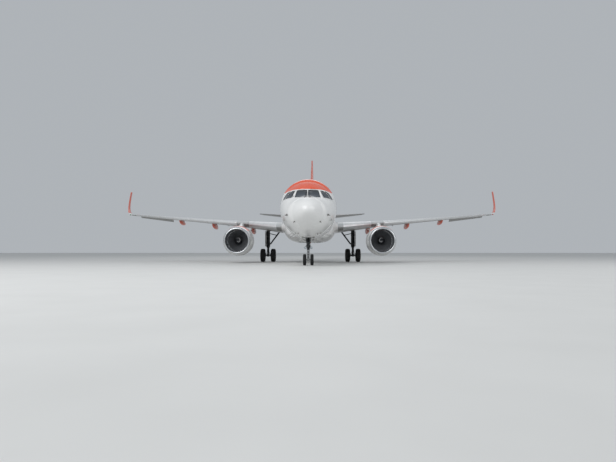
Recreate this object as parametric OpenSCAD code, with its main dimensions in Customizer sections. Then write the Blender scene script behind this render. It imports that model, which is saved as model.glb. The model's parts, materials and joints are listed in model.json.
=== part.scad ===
// Single-aisle twin-engine passenger jet, standing on its landing gear.
// The nose points to -Y, +X is the aircraft's left side, and the tyres stand on z = 0.
// Stations are measured aft from the nose tip.

/* [Fuselage] */
// Length from the nose tip to the end of the tail cone
fus_length = 37570; // [36500:10:38500]
// Width of the fuselage barrel
fus_w = 3950; // [3800:10:4100]
// Height of the fuselage barrel
fus_h = 4140; // [4000:10:4300]
// Height of the barrel's underside above the ground
fus_bottom = 1830; // [1750:10:1900]
// Station where the tapered nose meets the barrel
nose_len = 6500; // [6200:10:6800]
// Station of the joint behind the radome
radome_len = 1050; // [900:10:1200]
// Station of the joint behind the cockpit windows
cockpit_end = 4000; // [3900:10:4100]
// Length of the tapered tail
tail_len = 13000; // [12500:10:13500]
// Length of the separate tail cone
cone_len = 2300; // [2000:10:2600]
// Depth of a cockpit window recess and thickness of its pane
pane_t = 40; // [25:1:60]

/* [Belly fairing] */
// Station where the belly fairing begins
belly_start = 10600; // [10300:10:10900]
// Length of the belly fairing
belly_len = 10900; // [10600:10:11200]
// Greatest half width of the belly fairing
belly_half_w = 2180; // [2120:10:2260]
// How far the belly fairing reaches below the barrel
belly_drop = 150; // [100:5:200]

/* [Wing] */
// Half span to the end of the flat wing
tip_x = 17050; // [16800:10:17300]
// Distance from the centre line to the wing root joint
root_x = 2300; // [2250:10:2350]
// Distance from the centre line to the trailing edge kink
kink_x = 6400; // [6200:10:6600]
// Station of the leading edge on the centre line
wing_start = 11630; // [11400:10:11900]
// Sweep of the leading edge
wing_sweep = 27.5; // [26:0.1:29]
// Chord of the wing on the centre line, ahead of its straight inner trailing edge
root_chord = 7320; // [7200:10:7450]
// Chord at the wing tip
tip_chord = 1500; // [1400:10:1600]
// Height of the leading edge on the centre line
wing_z = 2740; // [2700:10:2790]
// Dihedral
dihedral = 5.6; // [5:0.1:6]
// Thickness at the root as a share of the chord
root_thick = 0.15; // [0.13:0.005:0.16]
// Thickness at the tip as a share of the chord
tip_thick = 0.108; // [0.1:0.002:0.12]
// Incidence at the root
root_twist = 3.5; // [2.5:0.1:4]
// Incidence at the tip
tip_twist = 0.5; // [0:0.1:1.5]
// Share of the chord taken by the slats
slat_share = 0.13; // [0.11:0.005:0.15]
// Share of the chord ahead of the flaps
flap_share = 0.76; // [0.74:0.005:0.78]
// Inner end of the outboard slats
slat_x0 = 6250; // [6200:10:6300]
// Outer end of the slats
slat_x1 = 16500; // [16400:10:16600]
// Inner end of the aileron
aileron_x0 = 13020; // [12900:10:13100]
// Outer end of the aileron
aileron_x1 = 16420; // [16300:10:16500]
// Droop of the aileron at rest, with its hydraulics off
aileron_droop = 22; // [15:1:25]
// Hinge line of every control surface as a share of its chord
hinge_share = 0.72; // [0.71:0.005:0.73]
// Free gap ahead of a moving control surface
surface_gap = 12; // [8:1:20]
// Free gap at each end of a moving control surface
end_gap = 36; // [30:1:50]

/* [Winglet] */
// Height of the winglet's tip above the wing tip
winglet_h = 2400; // [2200:10:2500]
// How far the winglet's tip stands outside the wing tip
winglet_out = 850; // [800:10:900]
// How far the winglet's tip lies behind the wing tip's leading edge
winglet_back = 2350; // [2200:10:2500]
// Chord at the winglet's tip
winglet_chord = 520; // [450:10:600]

/* [Tail] */
// Distance of the fin's leading edge at the fuselage from the end of the tail cone
fin_from_end = 8070; // [7900:10:8200]
// Height of the fin's tip above the ground
fin_top = 11760; // [11500:10:11900]
// Chord of the fin where it meets the fuselage
fin_chord = 5900; // [5700:10:6000]
// Chord of the fin's tip
fin_tip_chord = 1850; // [1700:10:2000]
// How far the fin's tip lies behind its root
fin_back = 5250; // [5000:10:5400]
// Half span of the tailplane
tail_x = 6225; // [6100:10:6350]
// Distance of the tailplane's leading edge on the centre line from the end of the tail cone
tailplane_from_end = 6870; // [6700:10:7000]
// Chord of the tailplane on the centre line
tail_chord = 4300; // [4200:10:4400]
// Chord of the tailplane's tip
tail_tip_chord = 1300; // [1200:10:1400]
// How far the tailplane's tip lies behind its centre
tail_back = 3900; // [3800:10:4000]
// Height of the tailplane on the centre line
tail_z = 4740; // [4690:10:4790]
// Dihedral of the tailplane
tail_dihedral = 6; // [5:0.5:7]
// Droop of the elevators at rest, with their hydraulics off
elevator_droop = 9; // [5:1:12]

/* [Engines] */
// Distance of the engine's axis from the centre line
engine_x = 5750; // [5650:10:5850]
// Height of the engine's axis above the ground
engine_z = 1790; // [1740:10:1840]
// Station of the intake lip
intake_s = 11200; // [11000:10:11400]
// Length of the fan cowl
cowl_len = 3450; // [3300:10:3600]
// Greatest outer radius of the fan cowl
cowl_r = 1200; // [1180:5:1220]
// Radius of the fan's tips
fan_tip_r = 867; // [850:1:875]
// Free gap between the fan's tips and the casing
fan_gap = 9; // [6:1:15]
// Distance of the fan behind the intake lip
fan_back = 1150; // [1050:10:1250]
// Number of fan blades
blades = 24; // [18:2:30]
// Width of the pylon
pylon_w = 420; // [360:10:480]

/* [Nose gear] */
// Station of the nose gear
nose_gear_s = 5070; // [5000:10:5140]
// Diameter of a nose tyre
nose_tyre_d = 762; // [740:2:780]
// Width of a nose tyre
nose_tyre_w = 224; // [210:2:235]
// Distance between the middles of the nose tyres
nose_track = 500; // [480:5:520]
// Radius of the nose leg's fixed barrel
nose_barrel_r = 95; // [85:1:105]
// Height of the barrel's lower end, where the steered tube turns
nose_barrel_z = 1060; // [1000:10:1100]
// Length of the nose-wheel bay
bay_len = 1500; // [1400:10:1600]
// Width of the nose-wheel bay
bay_w = 860; // [800:10:920]
// Height of the nose-wheel bay's roof above the ground
bay_roof = 2650; // [2550:10:2750]

/* [Main gear] */
// Station of the main gear
main_gear_s = 17710; // [17640:10:17780]
// Distance of a main leg from the centre line
main_gear_x = 3795; // [3740:5:3850]
// Diameter of a main tyre
main_tyre_d = 1168; // [1150:2:1180]
// Width of a main tyre
main_tyre_w = 432; // [410:2:440]
// Distance between the middles of a pair of main tyres
main_track = 927; // [910:1:945]
// Radius of the main leg's barrel
main_barrel_r = 165; // [155:1:175]
// Height of the barrel's lower end
main_barrel_z = 1330; // [1280:10:1380]

/* [Fits] */
// Gap between pieces that sit on each other
seat = 0.3; // [0.2:0.05:0.5]
// Radial clearance of a shaft in its bore
run_fit = 0.05; // [0.02:0.01:0.1]
// Radial clearance of a control surface on its hinge pins
hinge_fit = 0.1; // [0.05:0.01:0.1]

/* [Hidden] */

white = "#e6e6e4";
paint_red = "#e0633f";
grey = "#9a9da0";
dark = "#3a3d40";
steel = "#b9bcc0";
black = "#1c1c1e";
glass = "#2c343c";

ring_points = 40; // points round the fuselage
foil_points = 11; // points along one side of a wing section
round_fn = 48;    // fineness of turned pieces
cut_fn = 192;     // fineness of round cuts that a turned piece sits in
far = 30000;      // longer than any cut needs

fus_axis_z = fus_bottom + fus_h/2;
tail_s = fus_length - tail_len;
cone_s = fus_length - cone_len;
fin_start = fus_length - fin_from_end;
tail_start = fus_length - tailplane_from_end;

// Y of a station
function at(s) = s - fus_length/2;

// Smooth interpolation of column col in table rows, by cubic pieces through each row
function slope(rows, i, col) =
  i == 0 ? (rows[1][col] - rows[0][col]) / (rows[1][0] - rows[0][0]) :
  i == len(rows) - 1 ? (rows[i][col] - rows[i-1][col]) / (rows[i][0] - rows[i-1][0]) :
  (rows[i+1][col] - rows[i-1][col]) / (rows[i+1][0] - rows[i-1][0]);
function row_of(rows, x, i = 0) = i >= len(rows) - 2 || x < rows[i+1][0] ? i : row_of(rows, x, i + 1);
function smooth(rows, x, col) =
  let (i = row_of(rows, x), span = rows[i+1][0] - rows[i][0], t = (x - rows[i][0]) / span,
       a = rows[i][col], b = rows[i+1][col], ma = slope(rows, i, col)*span, mb = slope(rows, i+1, col)*span)
  (2*t^3 - 3*t^2 + 1)*a + (t^3 - 2*t^2 + t)*ma + (3*t^2 - 2*t^3)*b + (t^3 - t^2)*mb;

// A solid skinned over rings that have the same even number of points. Each side panel is two triangles;
// for a twisted blade they fold along the other diagonal, outwards, so that its two faces stay apart
module loft(rings, twisted = false) {
  n = len(rings[0]);
  m = len(rings);
  cap = [for (i = [0 : n/2 - 2]) each [[i, n-1-i, n-2-i], [i, n-2-i, i+1]]];
  sides = [for (j = [0 : m-2], i = [0 : n-1]) let (a = j*n + i, b = j*n + (i+1)%n)
    each twisted ? [[a, b, a+n], [b, b+n, a+n]] : [[a, b, b+n], [a, b+n, a+n]]];
  polyhedron(points = [for (r = rings) each r],
    faces = concat(cap, sides, [for (f = cap) [for (k = [2:-1:0]) f[k] + (m-1)*n]]));
}

// Both sides of something that is drawn on the left
module both_sides() {
  children();
  mirror([1, 0, 0]) children();
}

// Turned piece about an axis along +Y through [x, y, z], its outline given as [radius, distance aft]
module turned_y(x, y, z, outline, fn = round_fn)
  translate([x, y, z]) rotate([-90, 0, 0]) rotate_extrude($fn = fn) polygon(outline);

// Round bar between two points
module bar(a, b, r, fn = 24) {
  d = b - a;
  translate(a) rotate([0, acos(d[2]/norm(d)), atan2(d[1], d[0])]) cylinder(r = r, h = norm(d), $fn = fn);
}

// FUSELAGE
// The nose widens with the root of the station, which gives it a blunt tip.
// Columns: root of the share of the nose length, half width, top and bottom as shares of the barrel's,
// measured from its axis
NOSE = [
  [0,     0,     -0.227, -0.227],
  [0.124, 0.150, -0.095, -0.352],
  [0.277, 0.350,  0.060, -0.530],
  [0.392, 0.516,  0.160, -0.667],
  [0.548, 0.724,  0.290, -0.822],
  [0.632, 0.812,  0.500, -0.884],
  [0.713, 0.884,  0.705, -0.932],
  [0.804, 0.944,  0.868, -0.971],
  [0.903, 0.984,  0.965, -0.993],
  [1,     1,      1,     -1]];
// Columns: share of the tail length, half width, top and bottom as shares of the barrel's
TAIL = [
  [0,    1,     1,     -1],
  [0.12, 0.995, 0.998, -0.93],
  [0.27, 0.925, 0.985, -0.70],
  [0.42, 0.800, 0.965, -0.43],
  [0.57, 0.650, 0.935, -0.16],
  [0.72, 0.475, 0.890,  0.09],
  [0.87, 0.275, 0.825,  0.31],
  [1,    0.110, 0.750,  0.47]];

// Half width, top and bottom of the fuselage at a station
function section(s) =
  let (in_nose = s < nose_len, in_tail = s > tail_s,
       t = in_nose ? sqrt(max(s, 0)/nose_len) : (s - tail_s)/tail_len,
       table = in_nose ? NOSE : TAIL)
  in_nose || in_tail ? [for (col = [1:3]) smooth(table, t, col)] : [1, 1, -1];

// One ring of the skin, pulled in by an inset
function fus_ring(s, inset = 0) =
  let (f = section(s), half_h = (f[1] - f[2])*fus_h/4, mid = fus_axis_z + (f[1] + f[2])*fus_h/4)
  [for (i = [0 : ring_points-1]) let (a = (i + 0.5)*360/ring_points)
    [(f[0]*fus_w/2 - inset)*cos(a), at(s), mid + (half_h - inset)*sin(a)]];

module fus_loft(stations, inset = 0) loft([for (s = stations) fus_ring(s, inset)]);

nose_stations = [for (t = [0 : 0.125 : 1]) 4 + (radome_len - 4)*t*t];
cockpit_stations = [for (t = [0 : 0.125 : 1]) radome_len + seat + (cockpit_end - radome_len - seat)*t];
front_stations = [for (t = [0 : 0.25 : 1]) cockpit_end + seat + (nose_len - cockpit_end - seat)*t];
rear_stations = [for (t = [0 : 0.125 : 1]) tail_s + seat + (cone_s - tail_s - seat)*t];
cone_stations = [for (t = [0 : 0.25 : 1]) cone_s + seat + (cone_len - seat)*t];

module radome() color(white) fus_loft(nose_stations);

// Window outlines. Front panes are drawn as seen from ahead [x, z], side panes as seen from the left [s, z]
window_low = 4340;
window_high = 4880;
post = 55;
front_pane = [[post/2, window_low], [post/2, window_high], [690, window_high - 15], [815, window_low + 10]];
side_panes = [
  [[2260, window_low + 20], [2830, window_low - 20], [2960, window_high - 40], [2730, window_high - 20]],
  [[2890, window_low - 25], [3350, window_low - 50], [3280, window_high - 140], [3020, window_high - 50]]];

module pane_cut(inset) both_sides() {
  translate([0, at(radome_len), 0]) rotate([90, 0, 180]) mirror([1, 0, 0]) linear_extrude(2200)
    offset(delta = -inset) polygon(front_pane);
  for (p = side_panes) intersection() {
    translate([600, 0, 0]) rotate([90, 0, 90]) linear_extrude(fus_w)
      offset(delta = -inset) polygon([for (q = p) [at(q[0]), q[1]]]);
    translate([870, at(0), 0]) cube([fus_w, nose_len, 2*fus_h]);
  }
}

module cockpit_section() color(white) difference() {
  fus_loft(cockpit_stations);
  difference() {
    pane_cut(0);
    fus_loft(cockpit_stations, pane_t);
  }
}

module cockpit_glass() color(glass) intersection() {
  difference() {
    fus_loft(cockpit_stations, 4);
    fus_loft(cockpit_stations, pane_t - seat);
  }
  pane_cut(seat);
}

bay_ahead = 0.62; // share of the bay's length that lies ahead of the leg
module bay_box() translate([-bay_w/2, at(nose_gear_s - bay_len*bay_ahead), 0]) cube([bay_w, bay_len, bay_roof]);

module front_fuselage() color(white) difference() {
  fus_loft(front_stations);
  bay_box();
}

module barrel(grow = 0, s0 = nose_len + seat, s1 = tail_s) {
  ring = [for (p = fus_ring(s0, -grow)) [p[0], p[2]]];
  translate([0, at(s1), 0]) rotate([90, 0, 0]) linear_extrude(s1 - s0) polygon(ring);
}

module fuselage_barrel() color(white) barrel();

module rear_fuselage() color(white) fus_loft(rear_stations);

module tail_cone() color(grey) difference() {
  fus_loft(cone_stations);
  translate([0, at(fus_length - 300), fus_axis_z + (TAIL[7][2] + TAIL[7][3])*fus_h/4])
    rotate([-90, 0, 0]) cylinder(r = 150, h = far, $fn = round_fn);
}

// BELLY FAIRING
// Columns: share of the length, half width and drop as shares of the greatest ones
BELLY = [
  [0,    0.60, -0.30], [0.10, 0.84, 0.45], [0.22, 0.97, 0.88], [0.38, 1, 1],
  [0.60, 1,     1], [0.76, 0.95, 0.85], [0.90, 0.78, 0.30], [1, 0.55, -0.40]];
belly_top = 3350;
belly_squareness = [0.55, 0.65]; // powers that square the sections off, across and down

function belly_ring(t) =
  let (half_w = smooth(BELLY, t, 1)*belly_half_w, low = fus_bottom - smooth(BELLY, t, 2)*belly_drop)
  [for (i = [0 : ring_points-1]) let (a = (i + 0.5)*360/ring_points, c = cos(a), d = sin(a))
    [half_w*sign(c)*pow(abs(c), belly_squareness[0]), at(belly_start + t*belly_len),
     belly_top + (d > 0 ? 300*d : (belly_top - low)*-pow(-d, belly_squareness[1]))]];

module belly_fairing() color(white) difference() {
  union() {
    loft([for (t = [0 : 0.125 : 1]) belly_ring(t)]);
    wing_loft([-root_x + seat, 0, root_x - seat]);
  }
  barrel(seat, belly_start - 500, belly_start + belly_len + 500);
}

// WING
// Columns: x, leading edge station, chord, leading edge height, thickness share, incidence
function le_station(x) = wing_start + x*tan(wing_sweep);
inner_te = wing_start + root_chord;
kink_chord = inner_te - le_station(kink_x);
kink_thick = root_thick - 0.032;
kink_twist = (root_twist + tip_twist)/2;
WING = [
  [0,      le_station(0),      root_chord, wing_z, root_thick, root_twist],
  [kink_x, le_station(kink_x), kink_chord, wing_z + kink_x*tan(dihedral), kink_thick, kink_twist],
  [tip_x,  le_station(tip_x),  tip_chord,  wing_z + tip_x*tan(dihedral),  tip_thick,  tip_twist]];
function wing(x, col) = lookup(abs(x), [for (r = WING) [r[0], r[col]]]);

// Half thickness of a wing section of unit chord and unit thickness at share u of the chord
function foil_half(u) = 5*(0.2969*sqrt(u) - 0.1260*u - 0.3516*u*u + 0.2843*u^3 - 0.1015*u^4);
// Camber line of a wing section
wing_camber = 0.015;
function camber_at(u, camber = wing_camber) = 4*camber*u*(1 - u);
// Ring of a section: [share of the chord, height]. It runs from the trailing edge along the side first named
// to the leading edge and back, below first (-1) for wings that are skinned outwards, above first (1) for fins
function foil(thick, camber = wing_camber, first = -1) =
  [for (side = [first, -first], i = [0 : foil_points-1])
    let (k = side == first ? foil_points - i : i + 1, u = (1 - cos(180*(k - 0.5)/foil_points))/2)
    [u, side*thick*foil_half(u) + camber_at(u, camber)]];
// Point of the wing at x, share u of the chord and height v shares above the chord line
function wing_point(x, p) =
  let (c = wing(x, 2), a = wing(x, 5))
  [x, at(wing(x, 1)) + c*(p[0]*cos(a) + p[1]*sin(a)), wing(x, 3) + c*(p[1]*cos(a) - p[0]*sin(a))];
// Point of the wing's underside
function wing_under(x, u) = wing_point(x, [u, camber_at(u) - wing(x, 4)*foil_half(u)]);
function wing_ring(x) = [for (p = foil(wing(x, 4))) wing_point(x, p)];
module wing_loft(xs) loft([for (x = xs) wing_ring(x)]);

// Column of space over the plan between shares u0 and u1 of the chord, from x0 to x1
module wing_area(x0, x1, u0, u1, inset = 0) {
  xs = x0 < kink_x && x1 > kink_x ? [x0, kink_x, x1] : [x0, x1];
  plan = concat([for (x = xs) [x, at(wing(x, 1)) + u0*wing(x, 2)]],
    [for (i = [len(xs)-1 : -1 : 0]) [xs[i], at(wing(xs[i], 1)) + u1*wing(xs[i], 2)]]);
  linear_extrude(3*fus_h) offset(delta = -inset) polygon(plan);
}

module left_wing_skin() wing_loft([root_x, kink_x, tip_x]);

// Everything above the left wing's underside, lowered by a gap: it trims what sits under the wing.
// The first half of a wing ring is its underside, from the trailing edge to the leading edge
function over_wing_ring(x, gap) = let (ring = wing_ring(x)) concat(
  [for (i = [0 : foil_points-1]) ring[i] - [0, 0, gap]],
  [for (i = [foil_points-1 : -1 : 0]) ring[i] + [0, 0, fus_h]]);
module over_wing(gap = seat) loft([for (x = [root_x, kink_x, tip_x]) over_wing_ring(x, gap)]);

// Plan shares well outside the section
ahead = -0.2;
behind = 1.2;
slat_inner = [2750, 5150];
flap_inner = [root_x + 60, kink_x - 45];
flap_outer = [kink_x + 45, aileron_x0 - 60];

module slat_areas(inset) {
  wing_area(slat_inner[0], slat_inner[1], ahead, slat_share, inset);
  wing_area(slat_x0, slat_x1, ahead, slat_share, inset);
}

module flap_areas(inset) {
  wing_area(flap_inner[0], flap_inner[1], flap_share, behind, inset);
  wing_area(flap_outer[0], flap_outer[1], flap_share, behind, inset);
}

// Round nose of a control surface, or with a gap the trough that it turns in: a cone about the hinge line
// from a to b, run on a little past both ends. The nose is a little thinner than the section there
nose_share = 0.96;
run_on = 0.06;
module hinge_cone(a, b, ra, rb) {
  d = (b - a)*(1 + 2*run_on);
  translate(a - run_on*(b - a)) rotate([0, acos(d[2]/norm(d)), atan2(d[1], d[0])])
    cylinder(r1 = ra - run_on*(rb - ra), r2 = rb + run_on*(rb - ra), h = norm(d), $fn = 32);
}
// Hinge pins at both ends of a hinge line, from some way outside each end to some way inside it
hinge_pin_r = 18;
pin_depth = 150;
module hinge_pins(a, b, r, outside, inside) {
  d = b - a;
  for (end = [0, 1]) translate(end == 0 ? a : b) rotate([0, acos(d[2]/norm(d)), atan2(d[1], d[0])])
    translate([0, 0, end == 0 ? -outside : -inside]) cylinder(r = r, h = outside + inside, $fn = round_fn);
}
module fixed_pins(a, b) hinge_pins(a, b, hinge_pin_r, 2*end_gap, pin_depth);
module pin_bores(a, b) hinge_pins(a, b, hinge_pin_r + hinge_fit, end_gap, pin_depth + end_gap);
// Slices of space between two distances from the centre line, or two heights
module slice_x(x0, x1) translate([x0, -far, 0]) cube([x1 - x0, 2*far, 3*fus_h]);
module slice_z(z0, z1) translate([-fus_w/2, 0, z0]) cube([fus_w, far, z1 - z0]);

// The outer wing's skin runs straight from the kink to the tip, and its hinge line with it
function hinge_end(x) = wing_point(x, [hinge_share, camber_at(hinge_share)]);
function outer_share(x) = (x - kink_x)/(tip_x - kink_x);
function hinge_at(x) = hinge_end(kink_x) + outer_share(x)*(hinge_end(tip_x) - hinge_end(kink_x));
function thick_end(x) = wing(x, 2)*wing(x, 4)*foil_half(hinge_share);
function hinge_half(x) = thick_end(kink_x) + outer_share(x)*(thick_end(tip_x) - thick_end(kink_x));
// The aileron turns about the line between these two points
hinge_a = hinge_at(aileron_x0);
hinge_b = hinge_at(aileron_x1);
module aileron_cone(share, gap)
  hinge_cone(hinge_a, hinge_b, hinge_half(aileron_x0)*share + gap, hinge_half(aileron_x1)*share + gap);

module aileron_room() {
  wing_area(aileron_x0 - end_gap, aileron_x1 + end_gap, hinge_share, behind);
  intersection() {
    aileron_cone(1, surface_gap);
    slice_x(aileron_x0 - end_gap, aileron_x1 + end_gap);
  }
}

module left_wing() {
  difference() {
    left_wing_skin();
    slat_areas(0);
    flap_areas(0);
    aileron_room();
  }
  fixed_pins(hinge_a, hinge_b);
}
module wing_l() color(grey) left_wing();
module wing_r() color(grey) mirror([1, 0, 0]) left_wing();

module slats() color(steel) both_sides() intersection() {
  left_wing_skin();
  slat_areas(seat);
}

module flaps() color(grey) both_sides() intersection() {
  left_wing_skin();
  flap_areas(seat);
}

module left_aileron()
  translate(hinge_a) rotate(a = -aileron_droop, v = hinge_b - hinge_a) translate(-hinge_a) difference() {
    union() {
      intersection() {
        left_wing_skin();
        wing_area(aileron_x0, aileron_x1, hinge_share, behind);
      }
      intersection() {
        aileron_cone(nose_share, 0);
        slice_x(aileron_x0, aileron_x1);
      }
    }
    pin_bores(hinge_a, hinge_b);
  }
module aileron_l() color(grey) left_aileron();
module aileron_r() color(grey) mirror([1, 0, 0]) left_aileron();

// The winglet leaves the wing tip flat and curves up
module left_winglet() {
  tip = wing_point(tip_x, [0, 0]);
  steps = 9;
  loft([for (k = [0 : steps]) let (
      t = k/steps,
      out = seat + winglet_out*sin(90*t),
      up = winglet_h*(0.55*t*t + 0.45*t^4) + out*tan(dihedral)*(1 - t),
      back = winglet_back*(0.45*t + 0.55*t*t),
      chord = tip_chord + (winglet_chord - tip_chord)*sin(90*t),
      lean = dihedral + (83 - dihedral)*sin(90*t))
    [for (p = foil(tip_thick*(1 - 0.25*t)))
      let (v = p[1]*chord*cos(tip_twist) - p[0]*chord*sin(tip_twist)*(1 - t))
      [tip[0] + out - v*sin(lean)*t, tip[1] + back + p[0]*chord + p[1]*chord*sin(tip_twist)*(1 - t),
       tip[2] + up + v*(1 - t + t*cos(lean))]]]);
}
module winglet_l() color(paint_red) left_winglet();
module winglet_r() color(paint_red) mirror([1, 0, 0]) left_winglet();

// Canoe fairings under the flap tracks. Columns: x, length, radius
FAIRINGS = [[5100, 3300, 210], [8750, 3000, 200], [12050, 2500, 175]];
// Columns: share of the length, share of the radius
CANOE = [[0, 0.05], [0.1, 0.55], [0.25, 0.9], [0.45, 1], [0.65, 0.85], [0.85, 0.45], [1, 0.06]];

canoe_points = 12;

module left_flap_fairings() difference() {
  for (f = FAIRINGS) {
    mid = wing_point(f[0], [0.62, -0.045]);
    loft([for (t = [0 : 1/7 : 1.01]) let (r = smooth(CANOE, min(t, 1), 1)*f[2])
      [for (i = [0 : canoe_points-1]) let (a = (i + 0.5)*360/canoe_points)
        [f[0] + r*cos(a), mid[1] + (t - 0.32)*f[1], mid[2] - 0.12*(t - 0.32)*f[1] - 60 + 1.5*r*sin(a)]]]);
  }
  over_wing();
}
module flap_fairings() color(paint_red) both_sides() left_flap_fairings();

// TAIL
// Ring of a fin section at height z, and of a tailplane section at distance x
function fin_ring(z, s, chord, thick) = [for (p = foil(thick, 0, 1)) [p[1]*chord, at(s) + p[0]*chord, z]];
fin_root_z = fus_axis_z + 0.90*fus_h/2;
fin_h = fin_top - fin_root_z;
fin_root_t = 0.1;
fin_tip_t = 0.09;
module fin_loft() loft([
  fin_ring(fin_root_z, fin_start, fin_chord, fin_root_t),
  fin_ring(fin_top, fin_start + fin_back, fin_tip_chord, fin_tip_t)]);

function fin_chord_at(z) = fin_chord + (fin_tip_chord - fin_chord)*(z - fin_root_z)/fin_h;
function fin_le_at(z) = fin_start + fin_back*(z - fin_root_z)/fin_h;
function fin_hinge(z) = [0, at(fin_le_at(z) + hinge_share*fin_chord_at(z)), z];
function fin_half(z) =
  fin_chord_at(z)*lookup(z, [[fin_root_z, fin_root_t], [fin_top, fin_tip_t]])*foil_half(hinge_share);
rudder_foot = 330;
fin_cap = 260;
rudder_z0 = fin_root_z + rudder_foot;
rudder_z1 = fin_top - fin_cap;

// Space in the side view behind the fin's hinge line, and the cone about that line
module fin_area(z0, z1) {
  side = [for (z = [z0, z1]) [fin_hinge(z)[1], z]];
  back = [for (z = [z1, z0]) [at(fin_le_at(z) + behind*fin_chord_at(z)), z]];
  translate([-fus_w/2, 0, 0]) rotate([90, 0, 90]) linear_extrude(fus_w) polygon(concat(side, back));
}
module fin_cone(share, gap) hinge_cone(fin_hinge(rudder_z0), fin_hinge(rudder_z1),
  fin_half(rudder_z0)*share + gap, fin_half(rudder_z1)*share + gap);

module rear_skin(grow) {
  fus_loft(rear_stations, -grow);
  fus_loft(cone_stations, -grow);
}

fillet_lead = 2300; // how far the fillet begins ahead of the fin
fillet_back = 3300; // how far its leading edge runs back
fillet_chord = 5200;
fillet_h = 900;
module fin() color(paint_red) {
  fin_box();
  fixed_pins(fin_hinge(rudder_z0), fin_hinge(rudder_z1));
}
module fin_box() difference() {
  union() {
    fin_loft();
    // The fillet ahead of the fin's root
    loft([for (t = [0, 0.5, 1]) [for (p = foil(0.07 - 0.02*t, 0, 1))
      let (chord = fillet_chord*(1 - 0.75*t))
      [p[1]*chord, at(fin_start - fillet_lead + fillet_back*t) + p[0]*chord, fin_root_z + fillet_h*t]]]);
  }
  fin_area(rudder_z0 - end_gap, rudder_z1 + end_gap);
  intersection() {
    fin_cone(1, surface_gap);
    slice_z(rudder_z0 - end_gap, rudder_z1 + end_gap);
  }
  rear_skin(seat);
}

module rudder() color(paint_red) difference() {
  union() {
    intersection() {
      fin_loft();
      fin_area(rudder_z0, rudder_z1);
    }
    intersection() {
      fin_cone(nose_share, 0);
      slice_z(rudder_z0, rudder_z1);
    }
  }
  pin_bores(fin_hinge(rudder_z0), fin_hinge(rudder_z1));
}

function tail_share(x) = abs(x)/tail_x;
function tail_chord_at(x) = tail_chord + (tail_tip_chord - tail_chord)*tail_share(x);
function tail_le_at(x) = tail_start + tail_back*tail_share(x);
function tail_z_at(x) = tail_z + abs(x)*tan(tail_dihedral);
tail_thick = 0.1;
function tail_ring(x) = [for (p = foil(tail_thick, 0))
  [x, at(tail_le_at(x)) + p[0]*tail_chord_at(x), tail_z_at(x) + p[1]*tail_chord_at(x)]];
function tail_hinge(x) = [x, at(tail_le_at(x) + hinge_share*tail_chord_at(x)), tail_z_at(x)];
function tail_half(x) = tail_chord_at(x)*tail_thick*foil_half(hinge_share);
elevator_x0 = 1450;
tail_cap = 230;
elevator_x1 = tail_x - tail_cap;

module tail_loft(xs) loft([for (x = xs) tail_ring(x)]);
// Space in the plan behind the tailplane's hinge line, and the cone about that line
module tail_area(x0, x1) {
  front = [for (x = [x0, x1]) [x, tail_hinge(x)[1]]];
  back = [for (x = [x1, x0]) [x, at(tail_le_at(x) + behind*tail_chord_at(x))]];
  linear_extrude(3*fus_h) polygon(concat(front, back));
}
module elevator_cone(share, gap) hinge_cone(tail_hinge(elevator_x0), tail_hinge(elevator_x1),
  tail_half(elevator_x0)*share + gap, tail_half(elevator_x1)*share + gap);

module tailplane() color(grey) {
  difference() {
    tail_loft([-tail_x, 0, tail_x]);
    both_sides() {
      tail_area(elevator_x0 - end_gap, elevator_x1 + end_gap);
      intersection() {
        elevator_cone(1, surface_gap);
        slice_x(elevator_x0 - end_gap, elevator_x1 + end_gap);
      }
    }
    rear_skin(seat);
  }
  both_sides() fixed_pins(tail_hinge(elevator_x0), tail_hinge(elevator_x1));
}

module left_elevator() {
  a = tail_hinge(elevator_x0);
  b = tail_hinge(elevator_x1);
  translate(a) rotate(a = -elevator_droop, v = b - a) translate(-a) difference() {
    union() {
      intersection() {
        tail_loft([0, tail_x]);
        tail_area(elevator_x0, elevator_x1);
      }
      intersection() {
        elevator_cone(nose_share, 0);
        slice_x(elevator_x0, elevator_x1);
      }
    }
    pin_bores(a, b);
  }
}
module elevator_l() color(grey) left_elevator();
module elevator_r() color(grey) mirror([1, 0, 0]) left_elevator();

// ENGINES
// Outline of the fan cowl: [radius, distance behind the intake lip], outside first, then inside
casing_r = fan_tip_r + fan_gap;
lip_r = casing_r + 75;
COWL_OUT = [[lip_r, 0], [lip_r + 60, 25], [lip_r + 125, 130], [cowl_r - 65, 380], [cowl_r - 15, 750],
  [cowl_r, 1250], [cowl_r - 15, 1850], [cowl_r - 80, 2500], [cowl_r - 190, 3050], [cowl_r - 290, cowl_len]];
COWL_IN = [[cowl_r - 310, cowl_len], [cowl_r - 235, 3000], [cowl_r - 190, 2400], [casing_r + 40, 1700],
  [casing_r, fan_back + 220], [casing_r, fan_back - 220], [casing_r - 25, 500], [casing_r - 30, 300],
  [casing_r + 5, 120], [lip_r - 40, 25]];

module left_nacelle() turned_y(engine_x, at(intake_s), engine_z, concat(COWL_OUT, COWL_IN), 64);
module nacelle_l() color(white) left_nacelle();
module nacelle_r() color(white) mirror([1, 0, 0]) left_nacelle();

// Engine core: fan case hub, gas generator, exhaust nozzle and plug
hub_r = 300;
CORE = [[0, 262], [hub_r - 20, 262], [hub_r + 60, 420], [560, 1000], [640, 1500], [600, 2300],
  [480, 3000], [405, 3350], [395, 3350], [420, 3050], [330, 2900], [280, 3350], [150, 3900], [40, 4150], [0, 4160]];
stator_r0 = 420;
stator_count = 20;

module left_core() {
  y0 = at(intake_s + fan_back);
  turned_y(engine_x, y0, engine_z, CORE);
  // Outlet guide vanes between the core and the fan casing
  for (i = [0 : stator_count-1]) translate([engine_x, y0 + 560, engine_z])
    rotate([0, i*360/stator_count, 0]) translate([-14, 0, stator_r0]) cube([28, 150, casing_r - stator_r0 - 2]);
}
module engine_core_l() color(dark) left_core();
module engine_core_r() color(dark) mirror([1, 0, 0]) left_core();

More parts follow.
